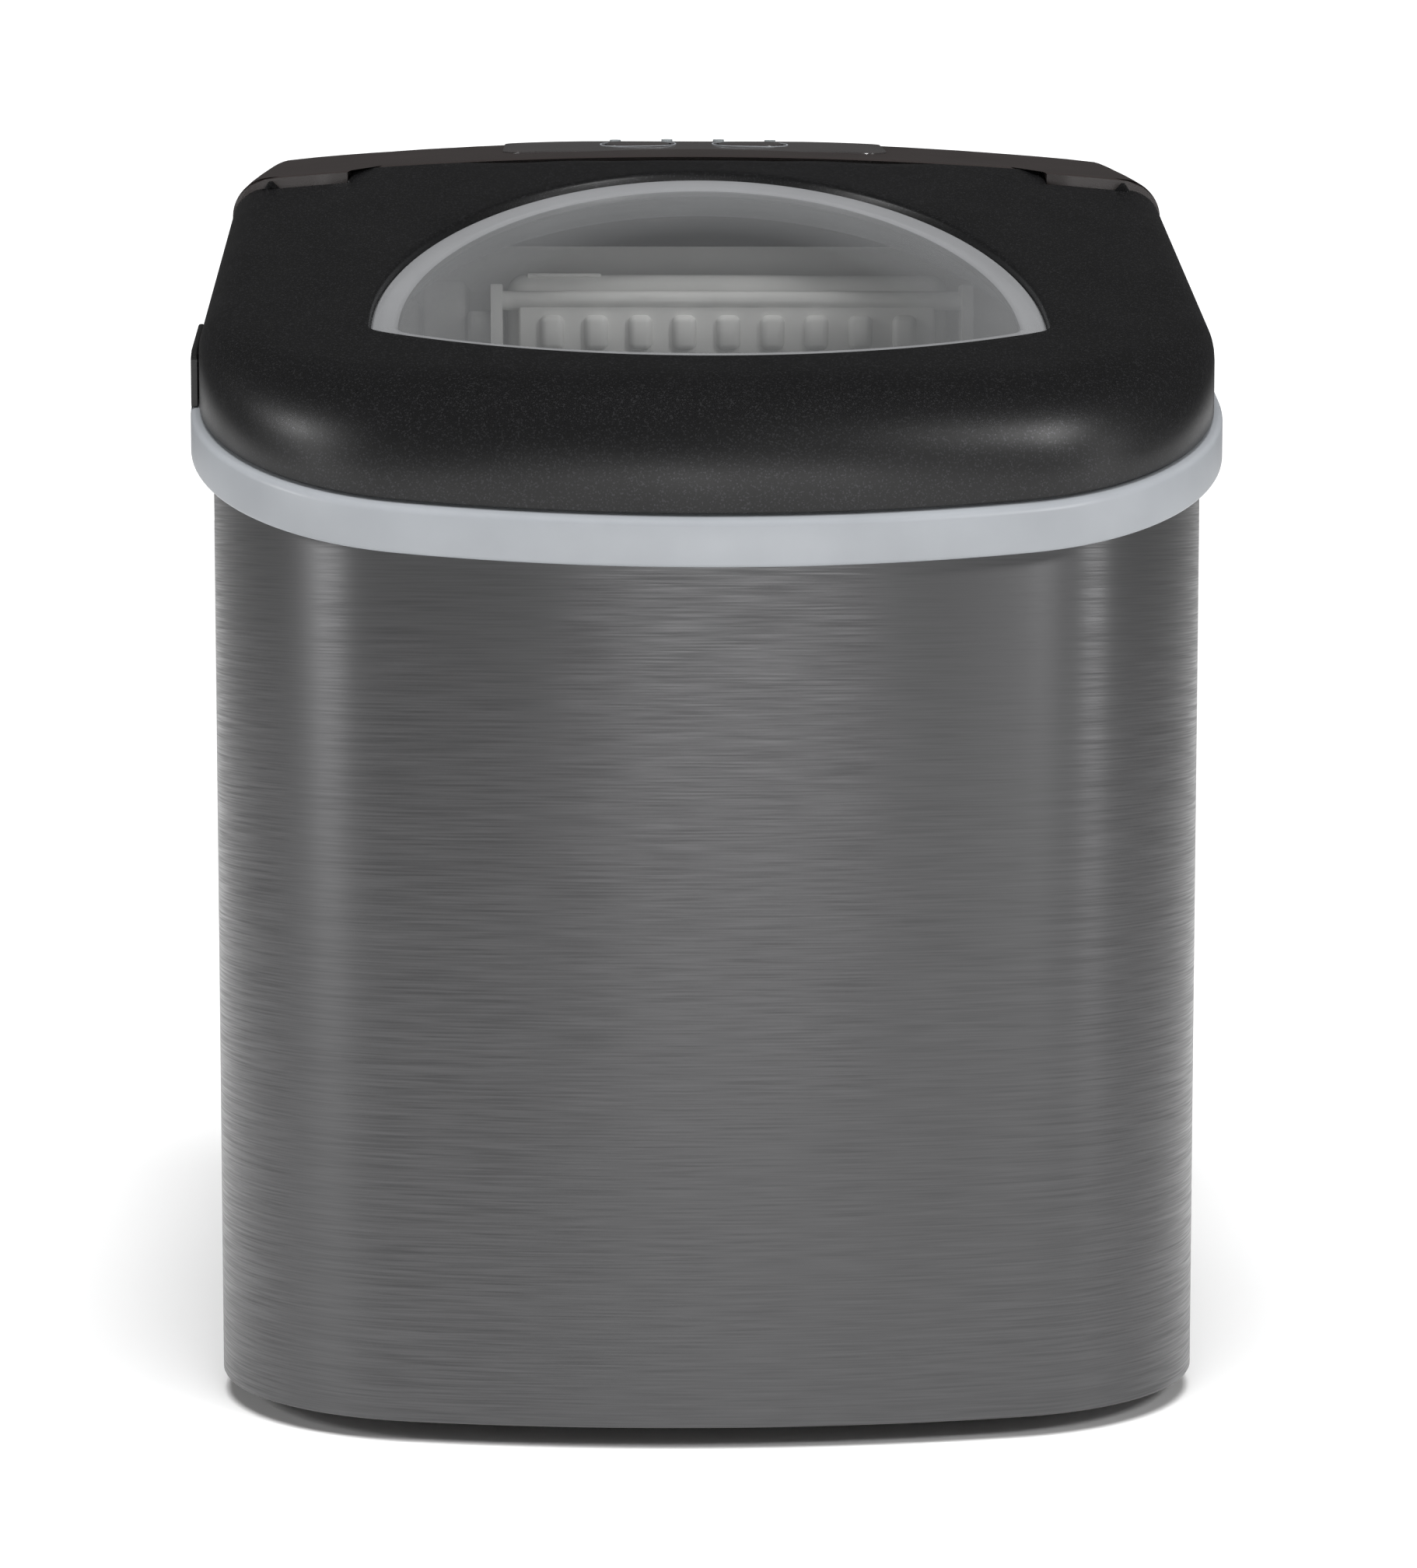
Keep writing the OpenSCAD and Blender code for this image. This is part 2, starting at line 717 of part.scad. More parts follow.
fan_x = 61;
fan_z = 85;
module fan_shroud() color("black") {
    difference() {
        block(fan_x - 41, fan_x + 41, 106, 130, fan_z - 41, fan_z + 41);
        rod_y(fan_x, 100, 140, fan_z, fan_r + 2);
    }
    for (side = [-1, 1]) block(fan_x + side * 36 - 3, fan_x + side * 36 + 3, 112, 126, 8.7, fan_z - 41);
    difference() {
        union() {
            block(fan_x - 40, fan_x + 40, 127, 130, fan_z - 4, fan_z + 4);
            block(fan_x - 4, fan_x + 4, 127, 130, fan_z - 40, fan_z + 40);
            rod_y(fan_x, 127, 130, fan_z, 17);
        }
        rod_y(fan_x, 100, 140, fan_z, 4);
    }
}

module fan_motor() color("gray") {
    rod_y(fan_x, 130.1, 150, fan_z, 16);
    rod_y(fan_x, 112, 130.1, fan_z, 2);
}

module fan_blade() color("black") difference() {
    union() {
        rod_y(fan_x, 111, 125, fan_z, 12);
        for (a = [0:72:288]) translate([fan_x, 118, fan_z]) rotate([0, a, 0])
            translate([0, 0, 10]) rotate([0, 0, 32]) translate([-11, -0.8, 0])
            cube([22, 1.6, fan_r - 13]);
    }
    rod_y(fan_x, 100, 140, fan_z, 2.06);
}

module dryer_filter() color("peru") {
    rod_z(10, 152, 44, 100, 8);
    rod_z(10, 152, 36, 44, 3);
    rod_z(10, 152, 100, 112, 3);
    block(2, 18, 160.2, 171.8, 70, 76);
}

module solenoid_valve() color("gray") {
    block(-14, 8, 134, 154, 158, 184);
    rod_z(-3, 144, 146, 158, 4);
    rod_z(-3, 144, 184, 196, 4);
}

tube_r = 3;
module tube_run(points) for (i = [0:len(points) - 2]) {
    step = points[i + 1] - points[i];
    translate(points[i]) {
        sphere(tube_r, $fn = 24);
        rotate([0, acos(step[2] / norm(step)), atan2(step[1], step[0])])
            cylinder(h = norm(step), r = tube_r, $fn = 24);
    }
}

module refrigerant_tubing() color("peru") {
    tube_run([[comp_x, comp_y, 141.1], [comp_x, comp_y, 152], [comp_x, 56, 152], [-20, 56, 152],
        [-20, 56, 250], [-20, 2, 250]]);
    tube_run([[comp_x + 18, comp_y + 10, 140.5], [comp_x + 18, comp_y + 10, 160], [40, comp_y + 10, 160],
        [40, 93.5, 160], [40, 93.5, 143]]);
}

module main_board_box() color("dimgray") difference() {
    block(-50, 62, 64, 150, 226, 254);
    block(-48, 60, 66, 148, 228, 252);
}

module cord_gland() color("black") difference() {
    union() {
        rod_y(gland_x, 164, 177.6, gland_z, gland_r - 0.2);
        rod_y(gland_x, 175.1, 177.6, gland_z, gland_r + 3);
    }
    rod_y(gland_x, 150, 190, gland_z, 3.6);
}

module body_screws() color("silver") at_screws() {
    rod_y(0, 0.05, 2, 0, 3.4);
    rod_y(0, -6, 0.05, 0, 1.6);
}

base_plate();
rubber_feet();
steel_wrap();
rear_panel();
collar();
lid_grip_insert();
inner_liner();
insulation_foam();
rear_deck();
control_overlay();
indicator_lights();
control_board();
power_button();
select_button();
lid_shell();
lid_window();
window_retainer();
lid_inner_frame();
lid_hinge_pins();
evaporator_fingers();
evaporator_cover();
mechanism_bracket();
gear_motor();
motor_cover();
water_tray();
tray_shaft();
ice_pusher();
ice_sensors();
water_spout();
silicone_hose();
water_pump();
pump_impeller();
pump_filter();
ice_basket();
ice_scoop();
drain_tube();
drain_plug();
compressor();
compressor_mounts();
relay_cover();
condenser();
fan_shroud();
fan_motor();
fan_blade();
dryer_filter();
solenoid_valve();
refrigerant_tubing();
main_board_box();
cord_gland();
body_screws();
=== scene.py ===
"""Looks of a countertop ice maker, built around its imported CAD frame."""

import json
import math

import bmesh
import bpy
import numpy as np
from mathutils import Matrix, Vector


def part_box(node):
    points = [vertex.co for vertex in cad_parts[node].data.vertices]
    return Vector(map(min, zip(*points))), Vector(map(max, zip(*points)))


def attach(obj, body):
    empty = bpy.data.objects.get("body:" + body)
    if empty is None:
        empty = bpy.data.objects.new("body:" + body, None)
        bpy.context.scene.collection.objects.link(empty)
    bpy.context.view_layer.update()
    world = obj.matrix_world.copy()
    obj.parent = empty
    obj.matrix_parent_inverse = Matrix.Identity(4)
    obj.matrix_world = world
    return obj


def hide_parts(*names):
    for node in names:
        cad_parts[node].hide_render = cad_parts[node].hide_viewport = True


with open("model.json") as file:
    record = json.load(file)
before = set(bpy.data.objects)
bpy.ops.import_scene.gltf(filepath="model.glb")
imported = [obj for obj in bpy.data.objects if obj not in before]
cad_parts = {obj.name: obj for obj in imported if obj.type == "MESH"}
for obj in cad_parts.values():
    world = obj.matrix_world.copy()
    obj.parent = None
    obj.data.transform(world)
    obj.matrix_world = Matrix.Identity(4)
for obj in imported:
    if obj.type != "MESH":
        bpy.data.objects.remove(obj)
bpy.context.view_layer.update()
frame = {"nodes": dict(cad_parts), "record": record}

MM = 0.001


def box_mm(node):
    """Lowest and highest corner of a CAD node, in millimetres."""
    low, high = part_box(node)
    return np.array(low) / MM, np.array(high) / MM


# ---- Camera, floor and light ----

CAMERA_PLACE = (-0.0257, -1.0007, 0.2218)
CAMERA_TURN = 0.029  # radians to the right of straight ahead
CAMERA_PITCH = 0.087  # radians below the horizon
CAMERA_LENS = 86.5
CAMERA_SENSOR = 36

FLOOR_HALF = 12.0
ROOM_GLOW = 0.07
SURROUND_GLOW = 1.6
CEILING_W = 3.6
CEILING_SPREAD = math.radians(36)
CEILING_TILT = math.radians(14)
LIGHT_AIM = (0, 0, 0.17)

# Soft boxes: azimuth in degrees from straight in front, distance, height, width, length, watts.
SOFT_BOXES = {
    "box_right": (62, 1.7, 0.3, 0.3, 1.0, 3),
    "box_left": (-60, 1.7, 0.3, 0.4, 1.0, 3),
    "box_front": (3, 2.6, 0.05, 1.2, 0.5, 13),
    "glow_right": (40, 1.5, 1.0, 0.3, 0.35, 9),
    "glow_left": (-70, 1.6, 0.85, 0.25, 0.35, 6),
}


def make_camera():
    """A long lens almost straight in front, tipped down a little."""
    data = bpy.data.cameras.new("camera")
    data.lens = CAMERA_LENS
    data.sensor_width = CAMERA_SENSOR
    camera = bpy.data.objects.new("camera", data)
    bpy.context.scene.collection.objects.link(camera)
    camera.location = CAMERA_PLACE
    ahead = Vector((math.sin(CAMERA_TURN) * math.cos(CAMERA_PITCH),
                    math.cos(CAMERA_TURN) * math.cos(CAMERA_PITCH),
                    -math.sin(CAMERA_PITCH)))
    camera.rotation_euler = ahead.to_track_quat("-Z", "Y").to_euler()
    bpy.context.scene.camera = camera


def make_floor():
    """A pale table top that runs to the horizon."""
    verts = [(x, y, 0) for y in (-FLOOR_HALF, FLOOR_HALF) for x in (-FLOOR_HALF, FLOOR_HALF)]
    mesh = bpy.data.meshes.new("floor")
    mesh.from_pydata(verts, [], [(0, 1, 3, 2)])
    floor = bpy.data.objects.new("floor", mesh)
    bpy.context.scene.collection.objects.link(floor)
    paper = Material("floor_paper", (0.97, 0.97, 0.97), rough=0.85)
    paper.mottle(0.004, scale=3)
    floor.data.materials.append(paper.done())


def area_light(name, place, aim, width, height, watts):
    """A soft box that faces a point."""
    data = bpy.data.lights.new(name, "AREA")
    data.shape = "RECTANGLE"
    data.size = width
    data.size_y = height
    data.energy = watts
    lamp = bpy.data.objects.new(name, data)
    lamp.location = place
    lamp.rotation_euler = (Vector(aim) - Vector(place)).to_track_quat("-Z", "Y").to_euler()
    bpy.context.scene.collection.objects.link(lamp)


def make_light():
    """A dim room that the camera sees as white, an overhead light, and soft boxes round the front."""
    world = bpy.data.worlds.new("studio")
    world.use_nodes = True
    nodes, links = world.node_tree.nodes, world.node_tree.links
    room = nodes["Background"]
    room.inputs["Color"].default_value = (1, 1, 1, 1)
    room.inputs["Strength"].default_value = ROOM_GLOW
    surround = nodes.new("ShaderNodeBackground")
    surround.inputs["Strength"].default_value = SURROUND_GLOW
    path = nodes.new("ShaderNodeLightPath")
    mix = nodes.new("ShaderNodeMixShader")
    links.new(path.outputs["Is Camera Ray"], mix.inputs[0])
    links.new(room.outputs[0], mix.inputs[1])
    links.new(surround.outputs[0], mix.inputs[2])
    links.new(mix.outputs[0], nodes["World Output"].inputs["Surface"])
    bpy.context.scene.world = world
    bpy.context.scene.view_settings.view_transform = "Standard"

    sky = bpy.data.lights.new("ceiling", "SUN")
    sky.energy = CEILING_W
    sky.angle = CEILING_SPREAD
    lamp = bpy.data.objects.new("ceiling", sky)
    lamp.rotation_euler = (CEILING_TILT, 0, 0)
    lamp.visible_glossy = False
    bpy.context.scene.collection.objects.link(lamp)
    for name, (azimuth, far, high, width, length, watts) in SOFT_BOXES.items():
        turn = math.radians(azimuth)
        place = (far * math.sin(turn), -far * math.cos(turn), high)
        area_light(name, place, LIGHT_AIM, width, length, watts)


# ---- Materials ----

class Material:
    """A principled node material with procedural detail laid over it step by step."""

    def __init__(self, name, color, rough=0.5, metal=0.0, **sockets):
        self.data = bpy.data.materials.new(name)
        self.data.use_nodes = True
        self.nodes = self.data.node_tree.nodes
        self.links = self.data.node_tree.links
        self.shader = self.nodes["Principled BSDF"]
        self.color = color
        self.rough = rough
        self.place = self.nodes.new("ShaderNodeTexCoord").outputs["Object"]
        self.height = None
        self.shader.inputs["Base Color"].default_value = (*color, 1)
        self.shader.inputs["Roughness"].default_value = rough
        self.shader.inputs["Metallic"].default_value = metal
        for socket, value in sockets.items():
            self.shader.inputs[socket.replace("_", " ")].default_value = value

    def new(self, kind, **values):
        """A node of this kind, with its sockets set by name."""
        node = self.nodes.new(kind)
        for key, value in values.items():
            node.inputs[key.replace("_", " ")].default_value = value
        return node

    def stretched(self, factors):
        """Object coordinates stretched by a factor along each axis."""
        mapping = self.new("ShaderNodeMapping", Scale=factors)
        self.links.new(self.place, mapping.inputs["Vector"])
        return mapping.outputs["Vector"]

    def noise(self, scale, factors=(1, 1, 1), detail=4.0):
        """Noise in object space, with a given number of cells to the metre."""
        noise = self.new("ShaderNodeTexNoise", Scale=scale, Detail=detail)
        self.links.new(self.stretched(factors), noise.inputs["Vector"])
        return noise.outputs["Fac"]

    def graded(self, factor, low, high, start=0.3, end=0.7):
        """Maps a factor to the range from low to high."""
        step = self.new("ShaderNodeMapRange", From_Min=start, From_Max=end, To_Min=low, To_Max=high)
        self.links.new(factor, step.inputs["Value"])
        return step.outputs["Result"]

    def base(self):
        """What colours the surface so far: the linked output, or None."""
        linked = self.shader.inputs["Base Color"].links
        return linked[0].from_socket if linked else None

    def tinted(self, factor, tint):
        """Mixes the base colour towards tint by factor."""
        mix = self.nodes.new("ShaderNodeMix")
        mix.data_type = "RGBA"
        plain, tinted = [socket for socket in mix.inputs if socket.type == "RGBA"]
        plain.default_value = (*self.color, 1)
        tinted.default_value = (*tint, 1)
        if self.base():
            self.links.new(self.base(), plain)
        self.links.new(factor, mix.inputs[0])
        out = next(socket for socket in mix.outputs if socket.type == "RGBA")
        self.links.new(out, self.shader.inputs["Base Color"])
        return self

    def mottle(self, amount, scale=40):
        """Slow, faint change of colour and roughness."""
        cloud = self.noise(scale)
        darker = tuple(max(0, c * (1 - 6 * amount)) for c in self.color)
        self.tinted(self.graded(cloud, 0, 1), darker)
        rough = self.graded(cloud, self.rough - amount, min(1, self.rough + amount))
        self.links.new(rough, self.shader.inputs["Roughness"])
        return self

    def bump(self, factor, depth_mm):
        """Adds a height, on top of any that is already there."""
        bump = self.new("ShaderNodeBump", Strength=1.0, Distance=depth_mm * MM)
        self.links.new(factor, bump.inputs["Height"])
        if self.height:
            self.links.new(self.height, bump.inputs["Normal"])
        self.height = bump.outputs["Normal"]
        self.links.new(self.height, self.shader.inputs["Normal"])
        return self

    def grain(self, size_mm, depth_mm):
        """The fine pebbled texture of moulded plastic."""
        return self.bump(self.noise(1 / (size_mm * MM), detail=2.0), depth_mm)

    def flakes(self, size_mm, share, tint):
        """Tiny glinting cells, as in pearl plastic."""
        cells = self.new("ShaderNodeTexVoronoi", Scale=1 / (size_mm * MM))
        self.links.new(self.place, cells.inputs["Vector"])
        pick = self.nodes.new("ShaderNodeSeparateColor")
        self.links.new(cells.outputs["Color"], pick.inputs["Color"])
        glint = self.graded(pick.outputs[0], 0, 1, 1 - share, 1)
        self.tinted(glint, tint)
        self.links.new(glint, self.shader.inputs["Metallic"])
        return self

    def scratches(self, factors, scale, depth_mm, darkest=0.72):
        """Fine parallel lines of brushed or rolled metal."""
        lines = self.noise(scale, factors, detail=6.0)
        rough = self.graded(lines, self.rough - 0.08, self.rough + 0.1)
        self.links.new(rough, self.shader.inputs["Roughness"])
        darker = tuple(c * darkest for c in self.color)
        self.tinted(self.graded(lines, 0, 1, 0.35, 0.75), darker)
        return self.bump(lines, depth_mm)

    def done(self):
        """The finished material."""
        return self.data


def plastic(name, color, rough=0.42, grain=0.35, depth=0.012, amount=0.02):
    """Moulded plastic with a faint mottle, and a grain of this size and depth in millimetres."""
    made = Material(name, color, rough)
    made.mottle(amount)
    return made.grain(grain, depth).done()


def metal(name, color, rough, factors=(1, 1, 1)):
    """Bare metal, rolled or drawn along the axis with the smallest factor."""
    return Material(name, color, rough, 1.0).scratches(factors, 900, 0.004).done()


def brushed_steel():
    """Dark steel, brushed level round the body."""
    made = Material("dark_brushed_steel", (0.105, 0.105, 0.107), 0.36, 1.0,
                    Anisotropic=0.8, Anisotropic_Rotation=0.25)
    turn = made.nodes.new("ShaderNodeTangent")
    turn.direction_type = "RADIAL"
    turn.axis = "Z"
    made.links.new(turn.outputs["Tangent"], made.shader.inputs["Tangent"])
    made.scratches((0.02, 0.02, 1), 2600, 0.0012, 0.86)
    return made.done()


def pearl_black():
    """Black plastic with fine pearl flakes."""
    made = Material("pearl_black", (0.006, 0.006, 0.0063), 0.38, Specular_IOR_Level=0.36)
    made.mottle(0.03, scale=60)
    made.flakes(0.28, 0.2, (0.055, 0.055, 0.058))
    return made.grain(0.45, 0.01).done()


def see_through(name, color, rough, alpha, grain_depth=0.003):
    """A thin translucent moulding: what is behind it shows through its haze."""
    made = Material(name, color, rough, Alpha=alpha)
    made.mottle(0.015, scale=30)
    return made.grain(1.2, grain_depth)


WINDOW_WAIST = 0.26  # share of the window's depth that is in front of its widest place


def clear_window():
    """Clear in the middle, hazier towards the arched rear edge."""
    made = see_through("clear_window", (0.2, 0.204, 0.208), 0.08, 0.2, 0.001)
    whole = made.nodes.new("ShaderNodeTexCoord").outputs["Generated"]
    arch_scale = 1 / (1 - WINDOW_WAIST)
    arch = made.new("ShaderNodeMapping", Location=(-1, 1 - arch_scale, 0), Scale=(2, arch_scale, 0))
    reach = made.nodes.new("ShaderNodeVectorMath")
    reach.operation = "LENGTH"
    made.links.new(whole, arch.inputs["Vector"])
    made.links.new(arch.outputs["Vector"], reach.inputs[0])
    haze = made.graded(reach.outputs["Value"], 0.16, 0.55, 0.62, 1.0)
    made.links.new(haze, made.shader.inputs["Alpha"])
    return made.done()


def milky(name, color, through):
    """Cloudy plastic or rubber that lets this share of the light through."""
    made = Material(name, color, 0.34, Transmission_Weight=through, IOR=1.45)
    made.mottle(0.02, scale=50)
    return made.grain(0.8, 0.01).done()


PAINTS = {
    "dark_steel": brushed_steel,
    "grey_plastic": lambda: plastic("grey_collar_plastic", (0.31, 0.325, 0.345), 0.38, 0.6, 0.006),
    "lid_black": pearl_black,
    "black_plastic": lambda: plastic("black_moulded_plastic", (0.014, 0.014, 0.014), 0.45),
    # Dark plastic of the rear deck. Its warm, lighter tone is a painted reflection of the surround at a
    # grazing angle, laid over the plastic's own dark colour.
    "dark_plastic": lambda: plastic("dark_plastic_painted_grazing_reflection", (0.03, 0.025, 0.0242), 0.4, 0.3, 0.015),
    "overlay_gloss": lambda: plastic("gloss_overlay", (0.05, 0.046, 0.046), 0.16, 1.2, 0.002),
    "light_pipe": lambda: milky("light_pipe", (0.75, 0.8, 0.82), 0.5),
    "board_green": lambda: plastic("circuit_board", (0.01, 0.09, 0.03), 0.35, 0.5, 0.01),
    "window_clear": clear_window,
    "milky_plastic": lambda: see_through("milky_window_rim", (0.33, 0.335, 0.345), 0.3, 0.6).done(),
    "white_plastic": lambda: plastic("white_moulded_plastic", (0.82, 0.82, 0.8), 0.4),
    "frosted_plastic": lambda: milky("frosted_basket", (0.68, 0.71, 0.73), 0.45),
    "rubber_black": lambda: plastic("black_rubber", (0.012, 0.012, 0.012), 0.75, 0.8, 0.03),
    "foam": lambda: plastic("insulation_foam", (0.62, 0.5, 0.3), 0.95, 1.4, 0.25, 0.03),
    "silicone": lambda: milky("silicone_hose", (0.7, 0.7, 0.68), 0.3),
    "bright_steel": lambda: metal("bright_steel", (0.6, 0.6, 0.61), 0.25),
    "nickel": lambda: metal("nickel_plated_copper", (0.62, 0.6, 0.56), 0.22, (1, 1, 0.1)),
    "motor_grey": lambda: plastic("motor_casing", (0.35, 0.36, 0.37), 0.5),
    "black_enamel": lambda: plastic("black_enamel", (0.008, 0.008, 0.008), 0.22, 2.5, 0.02),
    "aluminium_fin": lambda: metal("aluminium_fin", (0.72, 0.73, 0.74), 0.32, (1, 1, 0.05)),
    "copper": lambda: metal("copper_tube", (0.72, 0.36, 0.22), 0.28, (1, 0.2, 1)),
}
made_paints = {}  # finishes by slot, each made when it is first needed


def paint(thing, slot):
    """Gives an object the finish of one of the record's slots."""
    if slot not in made_paints:
        made_paints[slot] = PAINTS[slot]()
    thing.data.materials.clear()
    thing.data.materials.append(made_paints[slot])


# ---- Shape of the body, read from the frame, in millimetres ----

steel_low, steel_high = box_mm("steel_wrap")
collar_low, collar_high = box_mm("collar")
lid_high = box_mm("lid_shell")[1]
deck_high = box_mm("rear_deck")[1]
window_low, window_high = box_mm("lid_window")

HALF_W = steel_high[0]
FRONT_Y = steel_low[1]
SKIRT_Z = steel_low[2]
SHEET_END_Y = steel_high[1]
COLLAR_OUT = collar_high[0] - HALF_W
REAR_Y = collar_high[1] - COLLAR_OUT
LID_OUT = lid_high[0] - HALF_W
DECK_OUT = deck_high[0] - HALF_W
CORNER_R = 60
REAR_CORNER_R = 24
FRONT_ARC_R = 318
SHEET_T = 0.8

RIM_SLOPE = math.tan(math.radians(21.2))
KNEE_Y = 10
COLLAR_H = 10.3
COLLAR_LIP = 2.2
RIM_FRONT_Z = collar_low[2] + RIM_SLOPE * COLLAR_OUT

LID_SLOPE = 0.395
LID_REAR_Y = -14
LID_T = 2.4
LID_GAP = 0.8
LID_FRONT_R = 23.5
LID_SIDE_R = 9
CROWN_R = 1170
EAR_X = 89.5
EAR_Y = -24.6
SEAM_Z = 299.23
HINGE_Y = -17.8
HINGE_Z = 291.6
BARREL_R = 6.1
HINGE_CLEAR_R = 9.0
DECK_SLOPE = 0.157
DECK_KNEE_Y = 43
DECK_KNEE_SOFT = 16
DECK_LIP_Y = LID_REAR_Y + 0.5
DECK_EAR_Y = -22
DECK_SIDE_R = 11

FRONT_TURN = math.asin((HALF_W - CORNER_R) / (FRONT_ARC_R - CORNER_R))
FRONT_CENTRE = np.array([0, FRONT_Y + FRONT_ARC_R])
CORNER_CENTRE_Y = FRONT_CENTRE[1] - (FRONT_ARC_R - CORNER_R) * math.cos(FRONT_TURN)
CORNER_CENTRE = np.array([HALF_W - CORNER_R, CORNER_CENTRE_Y])
REAR_CENTRE = np.array([HALF_W - REAR_CORNER_R, REAR_Y - REAR_CORNER_R])


def rim_z(y):
    """Height of the body's rim: a slope from the front, level behind its knee."""
    return RIM_FRONT_Z + RIM_SLOPE * (np.minimum(y, KNEE_Y) - FRONT_Y)


def lid_plane(y):
    """Height of the lid's sloping top along its middle."""
    return SEAM_Z + LID_SLOPE * (y - LID_REAR_Y)


def deck_line(y):
    """The deck rises at a slope from the seam and levels out, with a soft bend between."""
    u = np.clip((np.asarray(y, float) - DECK_KNEE_Y + DECK_KNEE_SOFT) / (2 * DECK_KNEE_SOFT), 0, 1)
    ramp = np.minimum(y, DECK_KNEE_Y + DECK_KNEE_SOFT) - LID_REAR_Y
    return SEAM_Z + DECK_SLOPE * (ramp - DECK_KNEE_SOFT * u * u)


def crown(x):
    """How far the top falls away to each side of its middle."""
    return np.asarray(x) ** 2 / (2 * CROWN_R)


def half_body_line():
    """Right half of the body outline as points and outward normals, front centre to rear centre."""
    points, normals = [], []

    def add_arc(centre, radius, start, end, count):
        """Adds an arc, with normals that point away from its centre."""
        for turn in np.linspace(start, end, count + 1):
            out = np.array([math.cos(turn), math.sin(turn)])
            points.append(centre + radius * out)
            normals.append(out)

    right_angle = math.pi / 2
    add_arc(FRONT_CENTRE, FRONT_ARC_R, -right_angle, -right_angle + FRONT_TURN, 18)
    points.pop()
    normals.pop()
    add_arc(CORNER_CENTRE, CORNER_R, -right_angle + FRONT_TURN, 0, 28)
    side = [*np.linspace(CORNER_CENTRE[1], KNEE_Y, 14)[1:], *np.linspace(KNEE_Y, REAR_CENTRE[1], 12)[1:-1]]
    for y in side:
        points.append(np.array([HALF_W, y]))
        normals.append(np.array([1.0, 0.0]))
    add_arc(REAR_CENTRE, REAR_CORNER_R, 0, right_angle, 12)
    for x in np.linspace(REAR_CENTRE[0], 0, 10)[1:]:
        points.append(np.array([x, REAR_Y]))
        normals.append(np.array([0.0, 1.0]))
    return np.array(points), np.array(normals)


def body_line():
    """The closed outline: points and outward normals, anticlockwise from the front centre."""
    points, normals = half_body_line()
    flip = np.array([-1, 1])
    return (np.concatenate([points, (points * flip)[-2:0:-1]]),
            np.concatenate([normals, (normals * flip)[-2:0:-1]]))


def edge_distance(points, out):
    """Distance inward from the outline set out by a margin, and the outward normal there.
    It holds for the front, the front corners and the straight sides."""
    x, y = np.abs(points[:, 0]), points[:, 1]
    away = np.stack([x, y], 1) - FRONT_CENTRE
    front_d = FRONT_ARC_R + out - np.linalg.norm(away, axis=1)
    front_n = away / np.linalg.norm(away, axis=1)[:, None]
    turn = np.stack([x, y], 1) - CORNER_CENTRE
    reach = np.maximum(np.linalg.norm(turn, axis=1), 1e-6)
    corner_d = CORNER_R + out - reach
    corner_n = turn / reach[:, None]
    side_d = HALF_W + out - x
    in_front = (away[:, 1] < 0) & (x < -away[:, 1] * math.tan(FRONT_TURN))
    on_side = (y > CORNER_CENTRE[1]) & ~in_front
    d = np.where(in_front, front_d, np.where(on_side, side_d, corner_d))
    side_n = np.tile([1.0, 0.0], (len(x), 1))
    n = np.where(in_front[:, None], front_n, np.where(on_side[:, None], side_n, corner_n))
    return d, n * np.stack([np.where(points[:, 0] < 0, -1, 1), np.ones(len(x))], 1)


def smooth_step(value, start, end):
    """From 0 at start to 1 at end, level at both."""
    t = np.clip((value - start) / (end - start), 0, 1)
    return t * t * (3 - 2 * t)


def rounded_edge(top, slope_x, slope_y, d, n, radius):
    """Height of a surface whose edge is rolled over: top is its height without the roll, with
    the given slopes, d the distance inward from the edge and n the outward normal."""
    rise = -(slope_x * n[:, 0] + slope_y * n[:, 1])
    tilt = np.arctan(rise)
    end = radius * (1 - np.sin(tilt))
    missing = np.maximum(end - d, 0)
    flat = top + rise * missing - radius * np.cos(tilt)
    rolled = flat + np.sqrt(np.maximum(radius ** 2 - (radius - np.maximum(d, 0)) ** 2, 0))
    return np.where(d < end, rolled, top)


def lid_height(points):
    """Height of the lid's outer surface."""
    points = np.asarray(points, float).reshape(-1, 2)
    x, y = points.T
    d, n = edge_distance(points, LID_OUT)
    radius = LID_SIDE_R + (LID_FRONT_R - LID_SIDE_R) * smooth_step(-n[:, 1], 0.0, 0.9)
    top = lid_plane(y) - crown(x)
    high = rounded_edge(top, -x / CROWN_R, np.full(len(x), LID_SLOPE), d, n, radius)
    roll = HINGE_Z + np.sqrt(np.maximum(BARREL_R ** 2 - np.maximum(y - HINGE_Y, 0) ** 2, 0))
    return np.where(y > HINGE_Y, np.minimum(high, roll), high)


def deck_height(points):
    """Height of the rear deck's outer surface."""
    points = np.asarray(points, float).reshape(-1, 2)
    x, y = points.T
    top = deck_line(y) - crown(x)
    side = DECK_OUT + HALF_W - np.abs(x)
    corner = np.stack([np.abs(x), y], 1) - REAR_CENTRE
    in_corner = (corner > 0).all(1)
    reach = np.maximum(np.linalg.norm(corner, axis=1), 1e-6)
    d = np.where(in_corner, REAR_CORNER_R + DECK_OUT - reach, np.minimum(side, REAR_Y + DECK_OUT - y))
    radius = DECK_SIDE_R + (LID_SIDE_R - DECK_SIDE_R) * (1 - smooth_step(y, DECK_LIP_Y, 40))
    missing = np.clip(radius - d, 0, radius)
    return top - radius + np.sqrt(np.maximum(radius ** 2 - missing ** 2, 0))


# ---- Mesh helpers ----

SHARP_DEG = 38


